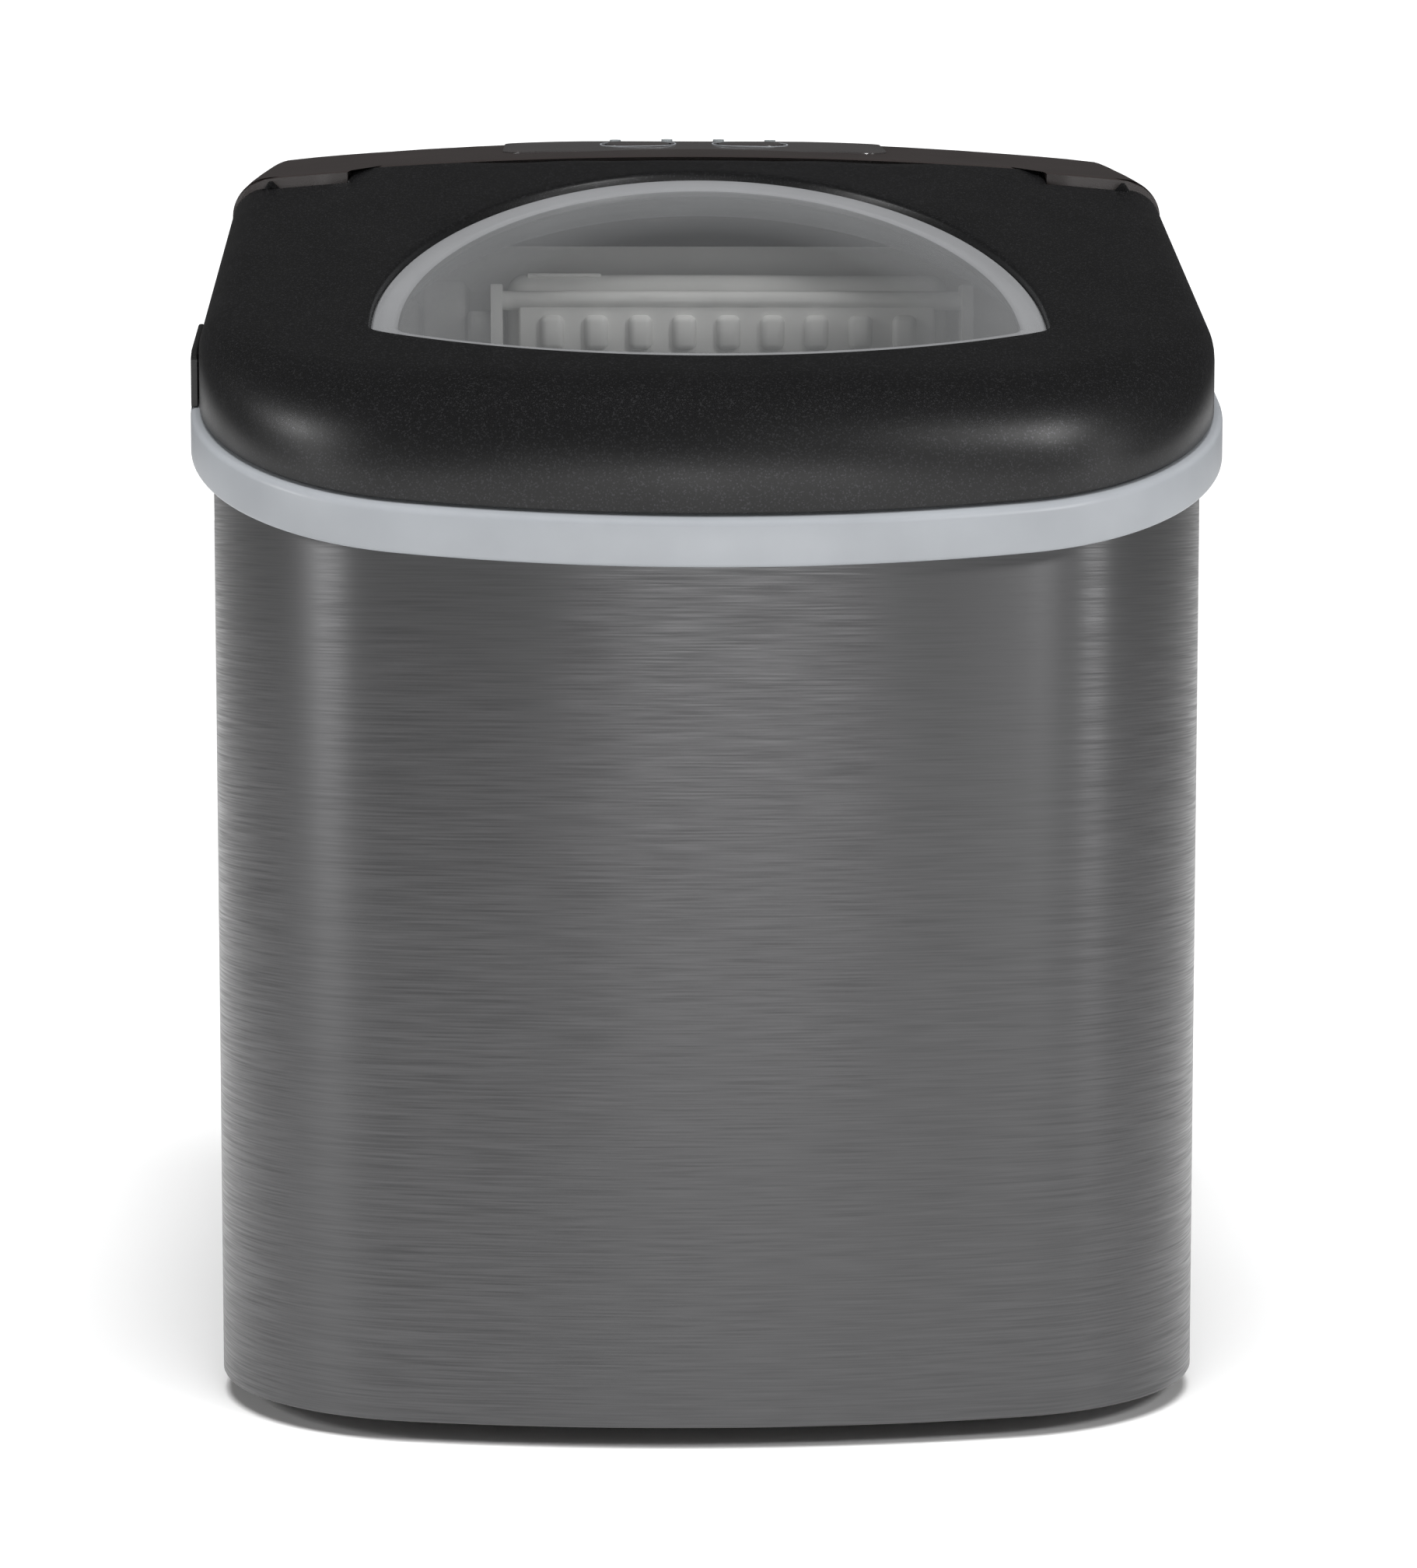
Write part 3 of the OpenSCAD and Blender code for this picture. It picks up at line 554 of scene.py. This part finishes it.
def add_mesh(name, verts_mm, faces, body, slot, replaced=(), sharp=SHARP_DEG):
    """Makes a smooth-shaded piece from millimetre coordinates, riding on a body."""
    mesh = bpy.data.meshes.new(name)
    mesh.from_pydata((np.asarray(verts_mm) * MM).tolist(), [], [list(map(int, f)) for f in faces])
    work = bmesh.new()
    work.from_mesh(mesh)
    bmesh.ops.remove_doubles(work, verts=work.verts, dist=0.002 * MM)
    bmesh.ops.recalc_face_normals(work, faces=work.faces)
    work.to_mesh(mesh)
    work.free()
    mesh.shade_smooth()
    mesh.set_sharp_from_angle(angle=math.radians(sharp))
    piece = bpy.data.objects.new(name, mesh)
    bpy.context.scene.collection.objects.link(piece)
    paint(piece, slot)
    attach(piece, body)
    if replaced:
        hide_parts(*replaced)
    return piece


def grid_faces(rows, columns, close_rows=False, close_columns=True):
    """Quads between rows of points that were laid out row by row."""
    faces = []
    for i in range(rows if close_rows else rows - 1):
        for j in range(columns if close_columns else columns - 1):
            a, b = i * columns + j, i * columns + (j + 1) % columns
            up = ((i + 1) % rows) * columns
            faces.append((a, b, up + (j + 1) % columns, up + j))
    return faces


def lofted(rings):
    """Vertices and faces of a closed tube-like solid through rings, the last joined to the first."""
    rings = [np.asarray(r) for r in rings]
    return np.concatenate(rings), grid_faces(len(rings), len(rings[0]), close_rows=True)


def capped(rings):
    """Vertices and faces of a solid through rings, closed by a face at each end."""
    rings = [np.asarray(r) for r in rings]
    count, size = len(rings), len(rings[0])
    faces = grid_faces(count, size)
    faces.append(tuple(range(size))[::-1])
    faces.append(tuple((count - 1) * size + i for i in range(size)))
    return np.concatenate(rings), faces


def raised(points, height):
    """Adds heights to plan points."""
    return np.column_stack([points, np.broadcast_to(height, len(points))])


def moved_in(ring, directions, distance):
    """Moves a ring of points in plan, against the given directions."""
    return ring - np.column_stack([directions * distance, np.zeros(len(ring))])


def padded(normals, straight, filler):
    """A direction for every station: the edge's normals, then a filler for its straight part."""
    return np.vstack([normals, np.tile(filler, (sum(straight), 1))])


# ---- Body pieces ----

def around_front(limit_y, out):
    """Outline points set out by a margin, from the right end at limit_y round the front to the left."""
    points, normals = half_body_line()
    keep = points[:, 1] <= limit_y
    keep &= ~((points[:, 1] > 0) & (points[:, 0] < HALF_W - 1))
    points, normals = points[keep], normals[keep]
    if points[-1][1] < limit_y:
        points = np.vstack([points, [HALF_W, limit_y]])
        normals = np.vstack([normals, [1, 0]])
    points = points + normals * out
    flip = np.array([-1, 1])
    return (np.concatenate([points[::-1], (points * flip)[1:]]),
            np.concatenate([normals[::-1], (normals * flip)[1:]]))


def make_steel_wrap():
    """The bent sheet: front, corners and sides in one piece, with a small roll at its lower edge."""
    roll_in, roll_up = 0.25, 0.5
    section = [(-roll_in, 0.0, False), (0, roll_up, False), (0, -COLLAR_LIP, True),
               (-SHEET_T, -COLLAR_LIP, True), (-SHEET_T, roll_up, False)]
    rings = []
    for out, lift, at_rim in section:
        line = around_front(SHEET_END_Y, out)[0]
        height = rim_z(line[:, 1]) + COLLAR_H + lift if at_rim else np.full(len(line), SKIRT_Z + lift)
        rings.append(raised(line, height))
    columns = len(rings[0])
    faces = grid_faces(len(rings), columns, close_rows=True, close_columns=False)
    faces.append([i * columns for i in range(len(rings))])
    faces.append([(i + 1) * columns - 1 for i in range(len(rings))][::-1])
    add_mesh("steel_wrap_skin", np.concatenate(rings), faces, "cabinet", "dark_steel", ["steel_wrap"])


def make_collar():
    """The pale band under the lid, with softened edges and a flange that carries the lid."""
    flange_in = 16.0
    overlap = 0.15
    bottom_r, top_r = 0.9, 1.3
    section = [(overlap, 0.0)]
    for turn in np.linspace(-math.pi / 2, 0, 5):
        section.append((COLLAR_OUT - bottom_r + bottom_r * math.cos(turn),
                        bottom_r + bottom_r * math.sin(turn)))
    for turn in np.linspace(0, math.pi / 2, 6):
        section.append((COLLAR_OUT - top_r + top_r * math.cos(turn),
                        COLLAR_H - top_r + top_r * math.sin(turn)))
    flange_z = COLLAR_H - COLLAR_LIP
    section += [(-flange_in, COLLAR_H), (-flange_in, flange_z), (overlap, flange_z)]
    line, normals = body_line()
    rings = []
    for out, lift in section:
        points = line + normals * out
        rings.append(raised(points, rim_z(points[:, 1]) + lift))
    add_mesh("collar_band", *lofted(rings), "cabinet", "grey_plastic", ["collar"])


# ---- Lid ----

WINDOW_CENTRE = np.array([0.0, -90.0])
WINDOW_HALF = (window_high[0] - window_low[0]) / 2 + 0.2
WINDOW_FRONT_Y = window_low[1] - 0.2
WINDOW_REAR_Y = window_high[1] + 0.2
WINDOW_BOW = 33
WINDOW_FRONT_R = 145
WINDOW_DROP = 2.5
WINDOW_RIM_W = 7.0
ROLL_STEPS = 12
ROLL_REACH = 0.98  # share of the quarter turn that a rolled edge makes
STRAIGHT_INSET = 1.2
SHEET_STEPS = 9
EAR_STEP_Y = -19.0
LID_SEAM_FADE = 0.5  # how far the top dips towards the seam
HINGE_SKIRT = 4.0  # how far the rear edge reaches below the hinge
HEM_IN, HEM_UP = 0.3, 0.5
WALL_T = 2.0
MOUTH_WALL = 1.6
MOUTH_EDGE = ((0.5, 0.12), (0.15, 0.45), (0.0, 1.0))  # growth and drop of each ring round the mouth
NEAR = 0.01


def window_line(turns, grow=0.0):
    """Window outline at the given directions from its centre, grown outward. A half ellipse
    makes its rear, a wide arc its front, and the two are blended where they meet."""
    ux, uy = np.cos(turns), np.sin(turns)
    waist_y = WINDOW_FRONT_Y + WINDOW_BOW
    rear_long = WINDOW_REAR_Y - waist_y
    lift = WINDOW_CENTRE[1] - waist_y
    a = (ux / WINDOW_HALF) ** 2 + (uy / rear_long) ** 2
    b = lift * uy / rear_long ** 2
    c = (lift / rear_long) ** 2 - 1
    rear = (-b + np.sqrt(b * b - a * c)) / a
    side = WINDOW_HALF / np.maximum(np.abs(ux), 1e-6)
    rear = np.where(lift + rear * uy < 0, side, rear)
    off = WINDOW_CENTRE[1] - (WINDOW_FRONT_Y + WINDOW_FRONT_R)
    front = -off * uy + np.sqrt((off * uy) ** 2 - off ** 2 + WINDOW_FRONT_R ** 2)
    sharpness = 0.75
    reach = -np.log(np.exp(-sharpness * rear) + np.exp(-sharpness * front)) / sharpness
    return WINDOW_CENTRE + (reach + grow)[:, None] * np.stack([ux, uy], 1)


def turns_of(points, centre):
    """Direction of each point from a centre."""
    return np.arctan2(points[:, 1] - centre[1], points[:, 0] - centre[0])


def edge_stations(line, normals, straight):
    """Stations round a sheet: (point, outward normal, on its straight edge), the rolled edge first."""
    edge = [(p, n, False) for p, n in zip(line, normals)]
    return edge + [(np.array(p, float), None, True) for p in straight]


def rolled_rings(stations, radius_of, ear_x, outer_x, inward_y):
    """Plan rings from the edge inward over the rolled border of a sheet with a stepped straight edge."""
    rings = []
    ear_radius = radius_of(np.array([1.0, 0.0]))
    for t in np.linspace(0, 1, ROLL_STEPS + 1):
        share = 1 - math.cos(t * math.pi / 2 * ROLL_REACH)
        inset = STRAIGHT_INSET * t
        ring = []
        for point, normal, is_straight in stations:
            if not is_straight:
                ring.append(point - normal * radius_of(normal) * share)
                continue
            x, y = point
            if abs(x) > ear_x + NEAR:
                span = outer_x - ear_x
                x = math.copysign(ear_x + (abs(x) - ear_x) * (span - ear_radius * share) / span, x)
            elif abs(x) > ear_x - NEAR:
                x -= math.copysign(inset, x)
            ring.append(np.array([x, y + inward_y * inset]))
        rings.append(np.array(ring))
    return rings


def lid_radius(normal):
    """Radius of the lid's rolled edge, larger round the front."""
    return LID_SIDE_R + (LID_FRONT_R - LID_SIDE_R) * float(smooth_step(-normal[1], 0.0, 0.9))


def grid_normals(rings):
    """Unit normals of a closed grid of rings, pointing up."""
    grid = np.array(rings)
    along = np.roll(grid, -1, 1) - np.roll(grid, 1, 1)
    across = np.gradient(grid, axis=0)
    normal = np.cross(across, along)
    normal /= np.maximum(np.linalg.norm(normal, axis=2), 1e-9)[:, :, None]
    return normal * np.sign(normal[len(grid) // 2, 0, 2] or 1)


def make_lid():
    """The lid's shell: a rolled edge, a crowned top round the window's mouth, and its inner face."""
    line, normals = around_front(EAR_Y, LID_OUT)
    outer_x = HALF_W + LID_OUT
    left = [(-x, EAR_Y) for x in np.linspace(outer_x, EAR_X, 8)[1:]]
    middle = [(x, LID_REAR_Y) for x in np.linspace(-EAR_X, EAR_X, 46)]
    right = [(x, EAR_Y) for x in np.linspace(EAR_X, outer_x, 8)[:-1]]
    rear_edge = [*left, (-EAR_X, EAR_STEP_Y), *middle, (EAR_X, EAR_STEP_Y), *right]
    stations = edge_stations(line, normals, rear_edge)
    straight = np.array([station[2] for station in stations])
    plan = rolled_rings(stations, lid_radius, EAR_X, outer_x, -1)

    rings = []
    for j, ring in enumerate(plan):
        fade = LID_SEAM_FADE * (1 - j / ROLL_STEPS) ** 2
        rings.append(raised(ring, lid_height(ring) - np.where(straight, fade, 0)))
    turns = turns_of(plan[-1], WINDOW_CENTRE)
    mouth = window_line(turns, 1.0)
    for t in np.linspace(0, 1, SHEET_STEPS + 1)[1:]:
        ring = plan[-1] + (mouth - plan[-1]) * t
        rings.append(raised(ring, lid_height(ring)))
    for grow, drop in MOUTH_EDGE:
        ring = window_line(turns, grow)
        rings.append(raised(ring, lid_height(ring) - drop))

    foot = rim_z(plan[0][:, 1]) + COLLAR_H + LID_GAP
    on_ear = np.abs(plan[0][:, 0]) > EAR_X - NEAR
    rear_foot = np.where(on_ear, rings[0][:, 2] - LID_T, HINGE_Z - HINGE_SKIRT)
    foot = np.where(straight, rear_foot, foot)
    sheer = plan[0] - padded(normals, straight, (0, 0)) * HEM_IN
    outer = [raised(sheer, foot), raised(plan[0], foot + HEM_UP), *rings]
    under = outer[-1] - np.array([0, 0, MOUTH_WALL])
    inner = np.array(outer) - grid_normals(outer) * (LID_T - 0.3)
    inner[0] = moved_in(outer[0], padded(normals, straight, (0, 1)), WALL_T)
    inner[1] = inner[0] + np.array([0, 0, 0.8])
    kept_inner = [inner[i] for i in range(len(outer) - 4, 3, -1)]
    loop = [*outer, under, *kept_inner, inner[1], inner[0]]
    add_mesh("lid_skin", *lofted(loop), "lid", "lid_black", ["lid_shell"])


def make_window():
    """The clear pane and the milky rim that it is moulded with, sunk below the lid's surface."""
    turns = np.linspace(0, 2 * math.pi, 181)[:-1]

    def pane_ring(ring, lift):
        """A ring raised to the pane's height and a lift above it."""
        return raised(ring, lid_plane(ring[:, 1]) - crown(ring[:, 0]) - WINDOW_DROP + lift)

    inner = -WINDOW_RIM_W
    section = [(-0.3, -2.0), (-0.3, 0.0), (-0.8, 0.5), (inner + 1.2, 0.5), (inner + 0.5, 0.3),
               (inner, -0.2), (inner, -1.6), (inner + 1, -2.0)]
    rings = [pane_ring(window_line(turns, grow), lift) for grow, lift in section]
    add_mesh("window_rim", *lofted(rings), "lid", "milky_plastic", ["lid_window"])
    edge = window_line(turns, inner + 0.1)
    rings = []
    for lift, scales in ((-0.25, np.linspace(0.02, 1, 14)), (-1.55, np.linspace(1, 0.02, 14))):
        for scale in scales:
            rings.append(pane_ring(WINDOW_CENTRE + (edge - WINDOW_CENTRE) * scale, lift))
    add_mesh("window_pane", *capped(rings), "lid", "window_clear", ["lid_window"])


# ---- Rear deck and controls ----

BUTTON_X, BUTTON_Y = 15, 20
BUTTON_W, BUTTON_D, BUTTON_R = 17, 12, 5
WELL_GAP = 0.8
LIGHT_PITCH, LIGHT_Y, LIGHT_HOLE = 14, 34, 3.2
OVERLAY_W, OVERLAY_D, OVERLAY_Y = 102, 39, 22.5
OVERLAY_R = 8
OVERLAY_RISE = 0.45
OVERLAY_SINK = 0.3
DECK_T = 2.5
DECK_WALL_T = 2.2
DECK_GAP = 0.1
DECK_LIP_DROP = 1.5
DECK_ROLL_R = 10.0
DECK_SEAM_FADE = 0.4
DECK_CENTRE = np.array([0.0, 80.0])
DECK_EAR_X = EAR_X + 0.5
DECK_STEPS = 16

# Growth and lift of each ring of a button's outline, then inset and lift of each of a key.
RING_SECTION = ((3.4, -0.05), (3.4, 0.12), (2.6, 0.12), (2.6, -0.05))
BUTTON_SECTION = ((0.0, -4.4), (0.0, 0.25), (0.25, 0.65), (0.8, 0.85),
                  (1.6, 0.9), (2.6, 0.8), (4.0, 0.7), (5.4, 0.66))


def pill_line(width, depth, radius, steps=8):
    """A rounded rectangle round the origin, anticlockwise."""
    points = []
    for start, sx, sy in ((0, 1, 1), (1, -1, 1), (2, -1, -1), (3, 1, -1)):
        centre = np.array([sx * (width / 2 - radius), sy * (depth / 2 - radius)])
        for turn in np.linspace(start, start + 1, steps) * math.pi / 2:
            points.append(centre + radius * np.array([math.cos(turn), math.sin(turn)]))
    return np.array(points)


def on_deck(points, x, y, lift):
    """Places plan points on the deck, in the plane of the controls."""
    front_z, rear_z = deck_line(np.array([OVERLAY_Y - OVERLAY_D / 2, OVERLAY_Y + OVERLAY_D / 2]))
    tilt = math.atan((rear_z - front_z) / OVERLAY_D)
    height = float(deck_height([[x, y]])[0])
    return np.column_stack([x + points[:, 0], y + points[:, 1] * math.cos(tilt) - lift * math.sin(tilt),
                            height + points[:, 1] * math.sin(tilt) + lift * math.cos(tilt)])


def cut(piece, cutters):
    """Subtracts closed meshes from a piece and keeps the result as its mesh."""
    for cutter in cutters:
        step = piece.modifiers.new("cut", "BOOLEAN")
        step.object = cutter
        step.solver = "EXACT"
    bpy.context.view_layer.update()
    made = bpy.data.meshes.new_from_object(piece.evaluated_get(bpy.context.evaluated_depsgraph_get()))
    piece.modifiers.clear()
    piece.data = made
    made.shade_smooth()
    made.set_sharp_from_angle(angle=math.radians(SHARP_DEG))


def control_cutters():
    """Solids that clear the two button wells and the four indicator holes."""
    well = pill_line(BUTTON_W + WELL_GAP, BUTTON_D + WELL_GAP, BUTTON_R + WELL_GAP / 2)
    hole = pill_line(LIGHT_HOLE, LIGHT_HOLE, LIGHT_HOLE / 2)
    shapes = [(side * BUTTON_X, BUTTON_Y, well) for side in (-1, 1)]
    shapes += [(i * LIGHT_PITCH, LIGHT_Y, hole) for i in (-1.5, -0.5, 0.5, 1.5)]
    made = []
    for number, (x, y, line) in enumerate(shapes):
        verts, faces = capped([on_deck(line, x, y, lift) for lift in (-12, 6)])
        mesh = bpy.data.meshes.new(f"cutter_{number}")
        mesh.from_pydata((verts * MM).tolist(), [], [list(map(int, f)) for f in faces])
        cutter = bpy.data.objects.new(f"cutter_{number}", mesh)
        bpy.context.scene.collection.objects.link(cutter)
        made.append(cutter)
    return made


def clear_of_hinge(ring):
    """Moves the lip's underside back, to give the lid's rear edge room to swing."""
    rise = ring[:, 2] - HINGE_Z
    swing = HINGE_Y + np.sqrt(np.maximum(HINGE_CLEAR_R ** 2 - rise ** 2, 0))
    near = (np.abs(ring[:, 0]) < DECK_EAR_X + NEAR) & (ring[:, 1] < HINGE_Y + HINGE_CLEAR_R)
    ring[:, 1] = np.where(near, np.maximum(ring[:, 1], swing), ring[:, 1])


def make_deck(cutters):
    """The rear deck's shell, with ears that meet the lid's, and holes for the controls."""
    line, normals = body_line()
    keep = line[:, 1] > DECK_EAR_Y
    outer_x = HALF_W + DECK_OUT
    points = line[keep] + normals[keep] * DECK_OUT
    points = np.vstack([[outer_x, DECK_EAR_Y], points, [-outer_x, DECK_EAR_Y]])
    normals = np.vstack([[1, 0], normals[keep], [-1, 0]])
    left = [(-x, DECK_EAR_Y) for x in np.linspace(outer_x, DECK_EAR_X, 8)[1:]]
    middle = [(x, DECK_LIP_Y) for x in np.linspace(-DECK_EAR_X, DECK_EAR_X, 46)]
    right = [(x, DECK_EAR_Y) for x in np.linspace(DECK_EAR_X, outer_x, 8)[:-1]]
    stations = edge_stations(points, normals, [*left, *middle, *right])
    straight = np.array([station[2] for station in stations])
    plan = rolled_rings(stations, lambda normal: DECK_ROLL_R, DECK_EAR_X, outer_x, 1)

    rings = []
    for j, ring in enumerate(plan):
        fade = DECK_SEAM_FADE * (1 - j / ROLL_STEPS) ** 2
        rings.append(raised(ring, deck_height(ring) - np.where(straight, fade, 0)))
    for t in np.linspace(0, 1, DECK_STEPS)[1:-1]:
        ring = plan[-1] + (DECK_CENTRE - plan[-1]) * t
        rings.append(raised(ring, deck_height(ring)))

    foot = rim_z(plan[0][:, 1]) + COLLAR_H + DECK_GAP
    on_lip = straight & (np.abs(plan[0][:, 0]) < DECK_EAR_X - NEAR)
    outer = [raised(plan[0], np.where(on_lip, rings[0][:, 2] - DECK_T, foot)), *rings]
    inner = [ring - np.array([0, 0, DECK_T]) for ring in rings]
    inner[0] = moved_in(outer[0], padded(normals, straight, (0, 0)), DECK_WALL_T)
    for ring in inner[1:4]:
        ring[:, 2] -= DECK_LIP_DROP
    for ring in [outer[0], *inner]:
        clear_of_hinge(ring)
    shell = capped([*outer[::-1], *inner])
    deck = add_mesh("rear_deck_skin", *shell, "cabinet", "dark_plastic", ["rear_deck"])
    cut(deck, cutters)


def make_overlay(cutters):
    """The glossy control strip, laid on the deck, and the outline round each button."""
    line = pill_line(OVERLAY_W, OVERLAY_D, OVERLAY_R, 12)
    scales = [0.996, 0.85, 0.7, 0.5, 0.3, 0.1, 0.02]
    section = [(1.0, -OVERLAY_SINK), (1.0, OVERLAY_RISE - 0.15)]
    section += [(scale, OVERLAY_RISE) for scale in scales]
    section += [(scale, -OVERLAY_SINK) for scale in scales[::-1]]
    rings = []
    for scale, lift in section:
        ring = line * scale + np.array([0, OVERLAY_Y])
        rings.append(raised(ring, deck_height(ring) + lift))
    overlay = add_mesh("control_strip", *lofted(rings), "cabinet", "overlay_gloss", ["control_overlay"])
    cut(overlay, cutters)
    for name, side in (("power_ring", -1), ("select_ring", 1)):
        rings = []
        for grow, lift in RING_SECTION:
            outline = pill_line(BUTTON_W + grow, BUTTON_D + grow, BUTTON_R + grow / 2)
            ring = outline + np.array([side * BUTTON_X, BUTTON_Y])
            rings.append(raised(ring, deck_height(ring) + OVERLAY_RISE + lift))
        add_mesh(name, *lofted(rings), "cabinet", "grey_plastic")


def make_button(node, body, side):
    """A key with a soft shoulder and a shallow dish."""
    rings = []
    for inset, lift in BUTTON_SECTION:
        line = pill_line(BUTTON_W - 2 * inset, BUTTON_D - 2 * inset, max(0.3, BUTTON_R - inset))
        rings.append(on_deck(line, side * BUTTON_X, BUTTON_Y, lift))
    add_mesh(node + "_cap", *capped(rings), body, "overlay_gloss", [node])


# ---- Freezing mechanism seen through the window ----

BUMP_COUNT = 9
BUMP_PITCH = 11.2
BUMP_FIRST_X = -37.5
BUMP_HALF_W = 3.1
BUMP_LOW_Z, BUMP_HIGH_Z = 248.5, 257.3
COMB_MARGIN = 8.5
COMB_END_X = 60
AXLE_D = 4.8


def rounded_box(low, high, radius, steps=4):
    """Vertices and faces of a box with all its edges rounded."""
    low, high = np.array(low, float), np.array(high, float)
    size, middle = high - low, (low + high) / 2
    radius = min(radius, *(size / 2 - 0.01))
    rings = []
    turns = np.linspace(-math.pi / 2, math.pi / 2, 2 * steps + 1)
    for turn in turns:
        inset = radius * (1 - math.cos(turn))
        lift = -size[2] / 2 + radius if turn < 0 else size[2] / 2 - radius
        line = pill_line(size[0] - 2 * inset, size[1] - 2 * inset, max(radius - inset, 0.02), steps + 1)
        rings.append(raised(line + middle[:2], middle[2] + lift + radius * math.sin(turn)))
    return capped(rings)


def joined(solids):
    """One vertex and face list from several solids."""
    verts, faces, count = [], [], 0
    for solid_verts, solid_faces in solids:
        verts.append(solid_verts)
        faces += [tuple(count + i for i in face) for face in solid_faces]
        count += len(solid_verts)
    return np.concatenate(verts), faces


def make_pusher():
    """The swinging comb: a plate on its axle tube, with a row of rounded bumps."""
    low, high = box_mm("ice_pusher")
    plate_low = (BUMP_FIRST_X - COMB_MARGIN, low[1] + 2.4, low[2])
    plate_high = (COMB_END_X, low[1] + 5.0, high[2] - 1.0)
    axle_low = (low[0], low[1] + 1.6, high[2] - AXLE_D)
    axle_high = (high[0], low[1] + 1.6 + AXLE_D, high[2])
    solids = [rounded_box(plate_low, plate_high, 0.8), rounded_box(axle_low, axle_high, AXLE_D / 2)]
    for i in range(BUMP_COUNT):
        x = BUMP_FIRST_X + i * BUMP_PITCH
        bump_low = (x - BUMP_HALF_W, low[1] + 0.1, BUMP_LOW_Z)
        bump_high = (x + BUMP_HALF_W, low[1] + 4, BUMP_HIGH_Z)
        solids.append(rounded_box(bump_low, bump_high, 2.4, 5))
    add_mesh("pusher_comb", *joined(solids), "pusher", "white_plastic", ["ice_pusher"], sharp=60)


def make_evaporator_hood():
    """The evaporator's cover, with a raised patch at its left end."""
    low, high = box_mm("evaporator_cover")
    patch_low = (low[0] + 5, low[1] + 1.5, high[2] - 0.9)
    patch_high = (low[0] + 24, low[1] + 8, high[2] + 0.25)
    solids = [rounded_box(low, high, 4.5, 6), rounded_box(patch_low, patch_high, 0.6)]
    add_mesh("evaporator_hood", *joined(solids), "cabinet", "white_plastic", ["evaporator_cover"])


def make_motor_housing():
    """The stepped housing over the gear motor: a slab, and four blocks on it from left to right."""
    low, high = box_mm("motor_cover")
    rear_y = 20
    block_z = 251
    blocks = [((low[0], -12, low[2]), (-56, high[1], low[2] + 3.8)),
              ((-84, -12, block_z), (-72.4, rear_y, 262)),
              ((-71, -16, block_z), (-60.2, rear_y, high[2])),
              ((-59.5, low[1], low[2]), (high[0], rear_y, 259)),
              ((-70, -15.6, 256), (-61, -14, 262))]
    solids = [rounded_box(block_low, block_high, 1.2) for block_low, block_high in blocks]
    add_mesh("motor_housing", *joined(solids), "cabinet", "white_plastic", ["motor_cover"])


# ---- Softened edges of the CAD parts that stay ----

SOFT_EDGES_MM = {
    "mechanism_bracket": 0.5,
    # The lid grip insert is a dark piece that fills the finger recess between the collar's lug and the
    # lid; it is painted shade standing in for that recess.
    "lid_grip_insert": 0.7,
    "ice_basket": 0.4,
    "ice_scoop": 0.4,
    "water_tray": 0.3,
    "lid_inner_frame": 0.4,
    "relay_cover": 1.2,
    "main_board_box": 1.0,
    "rear_panel": 0.25,
    "rubber_feet": 0.8,
}


BEVEL_FROM_DEG = 50


def soften(node, width_mm):
    """Rounds a CAD part's sharp edges with modifiers; its own mesh stays as it is."""
    thing = frame["nodes"][node]
    weld = thing.modifiers.new("weld", "WELD")
    weld.merge_threshold = 0.001 * MM
    bevel = thing.modifiers.new("soft_edges", "BEVEL")
    bevel.width = width_mm * MM
    bevel.segments = 3
    bevel.limit_method = "ANGLE"
    bevel.angle_limit = math.radians(BEVEL_FROM_DEG)
    bevel.use_clamp_overlap = True


# ---- Putting it together ----

make_camera()
make_floor()
make_light()
for part in frame["record"]["subparts"]:
    paint(frame["nodes"][part["node"]], part["material_slot"])
for node, width_mm in SOFT_EDGES_MM.items():
    soften(node, width_mm)

make_steel_wrap()
make_collar()
make_lid()
make_window()
make_pusher()
make_evaporator_hood()
make_motor_housing()
wells = control_cutters()
make_deck(wells)
make_overlay(wells)
for well in wells:
    bpy.data.objects.remove(well)
make_button("power_button", "power_key", -1)
make_button("select_button", "select_key", 1)
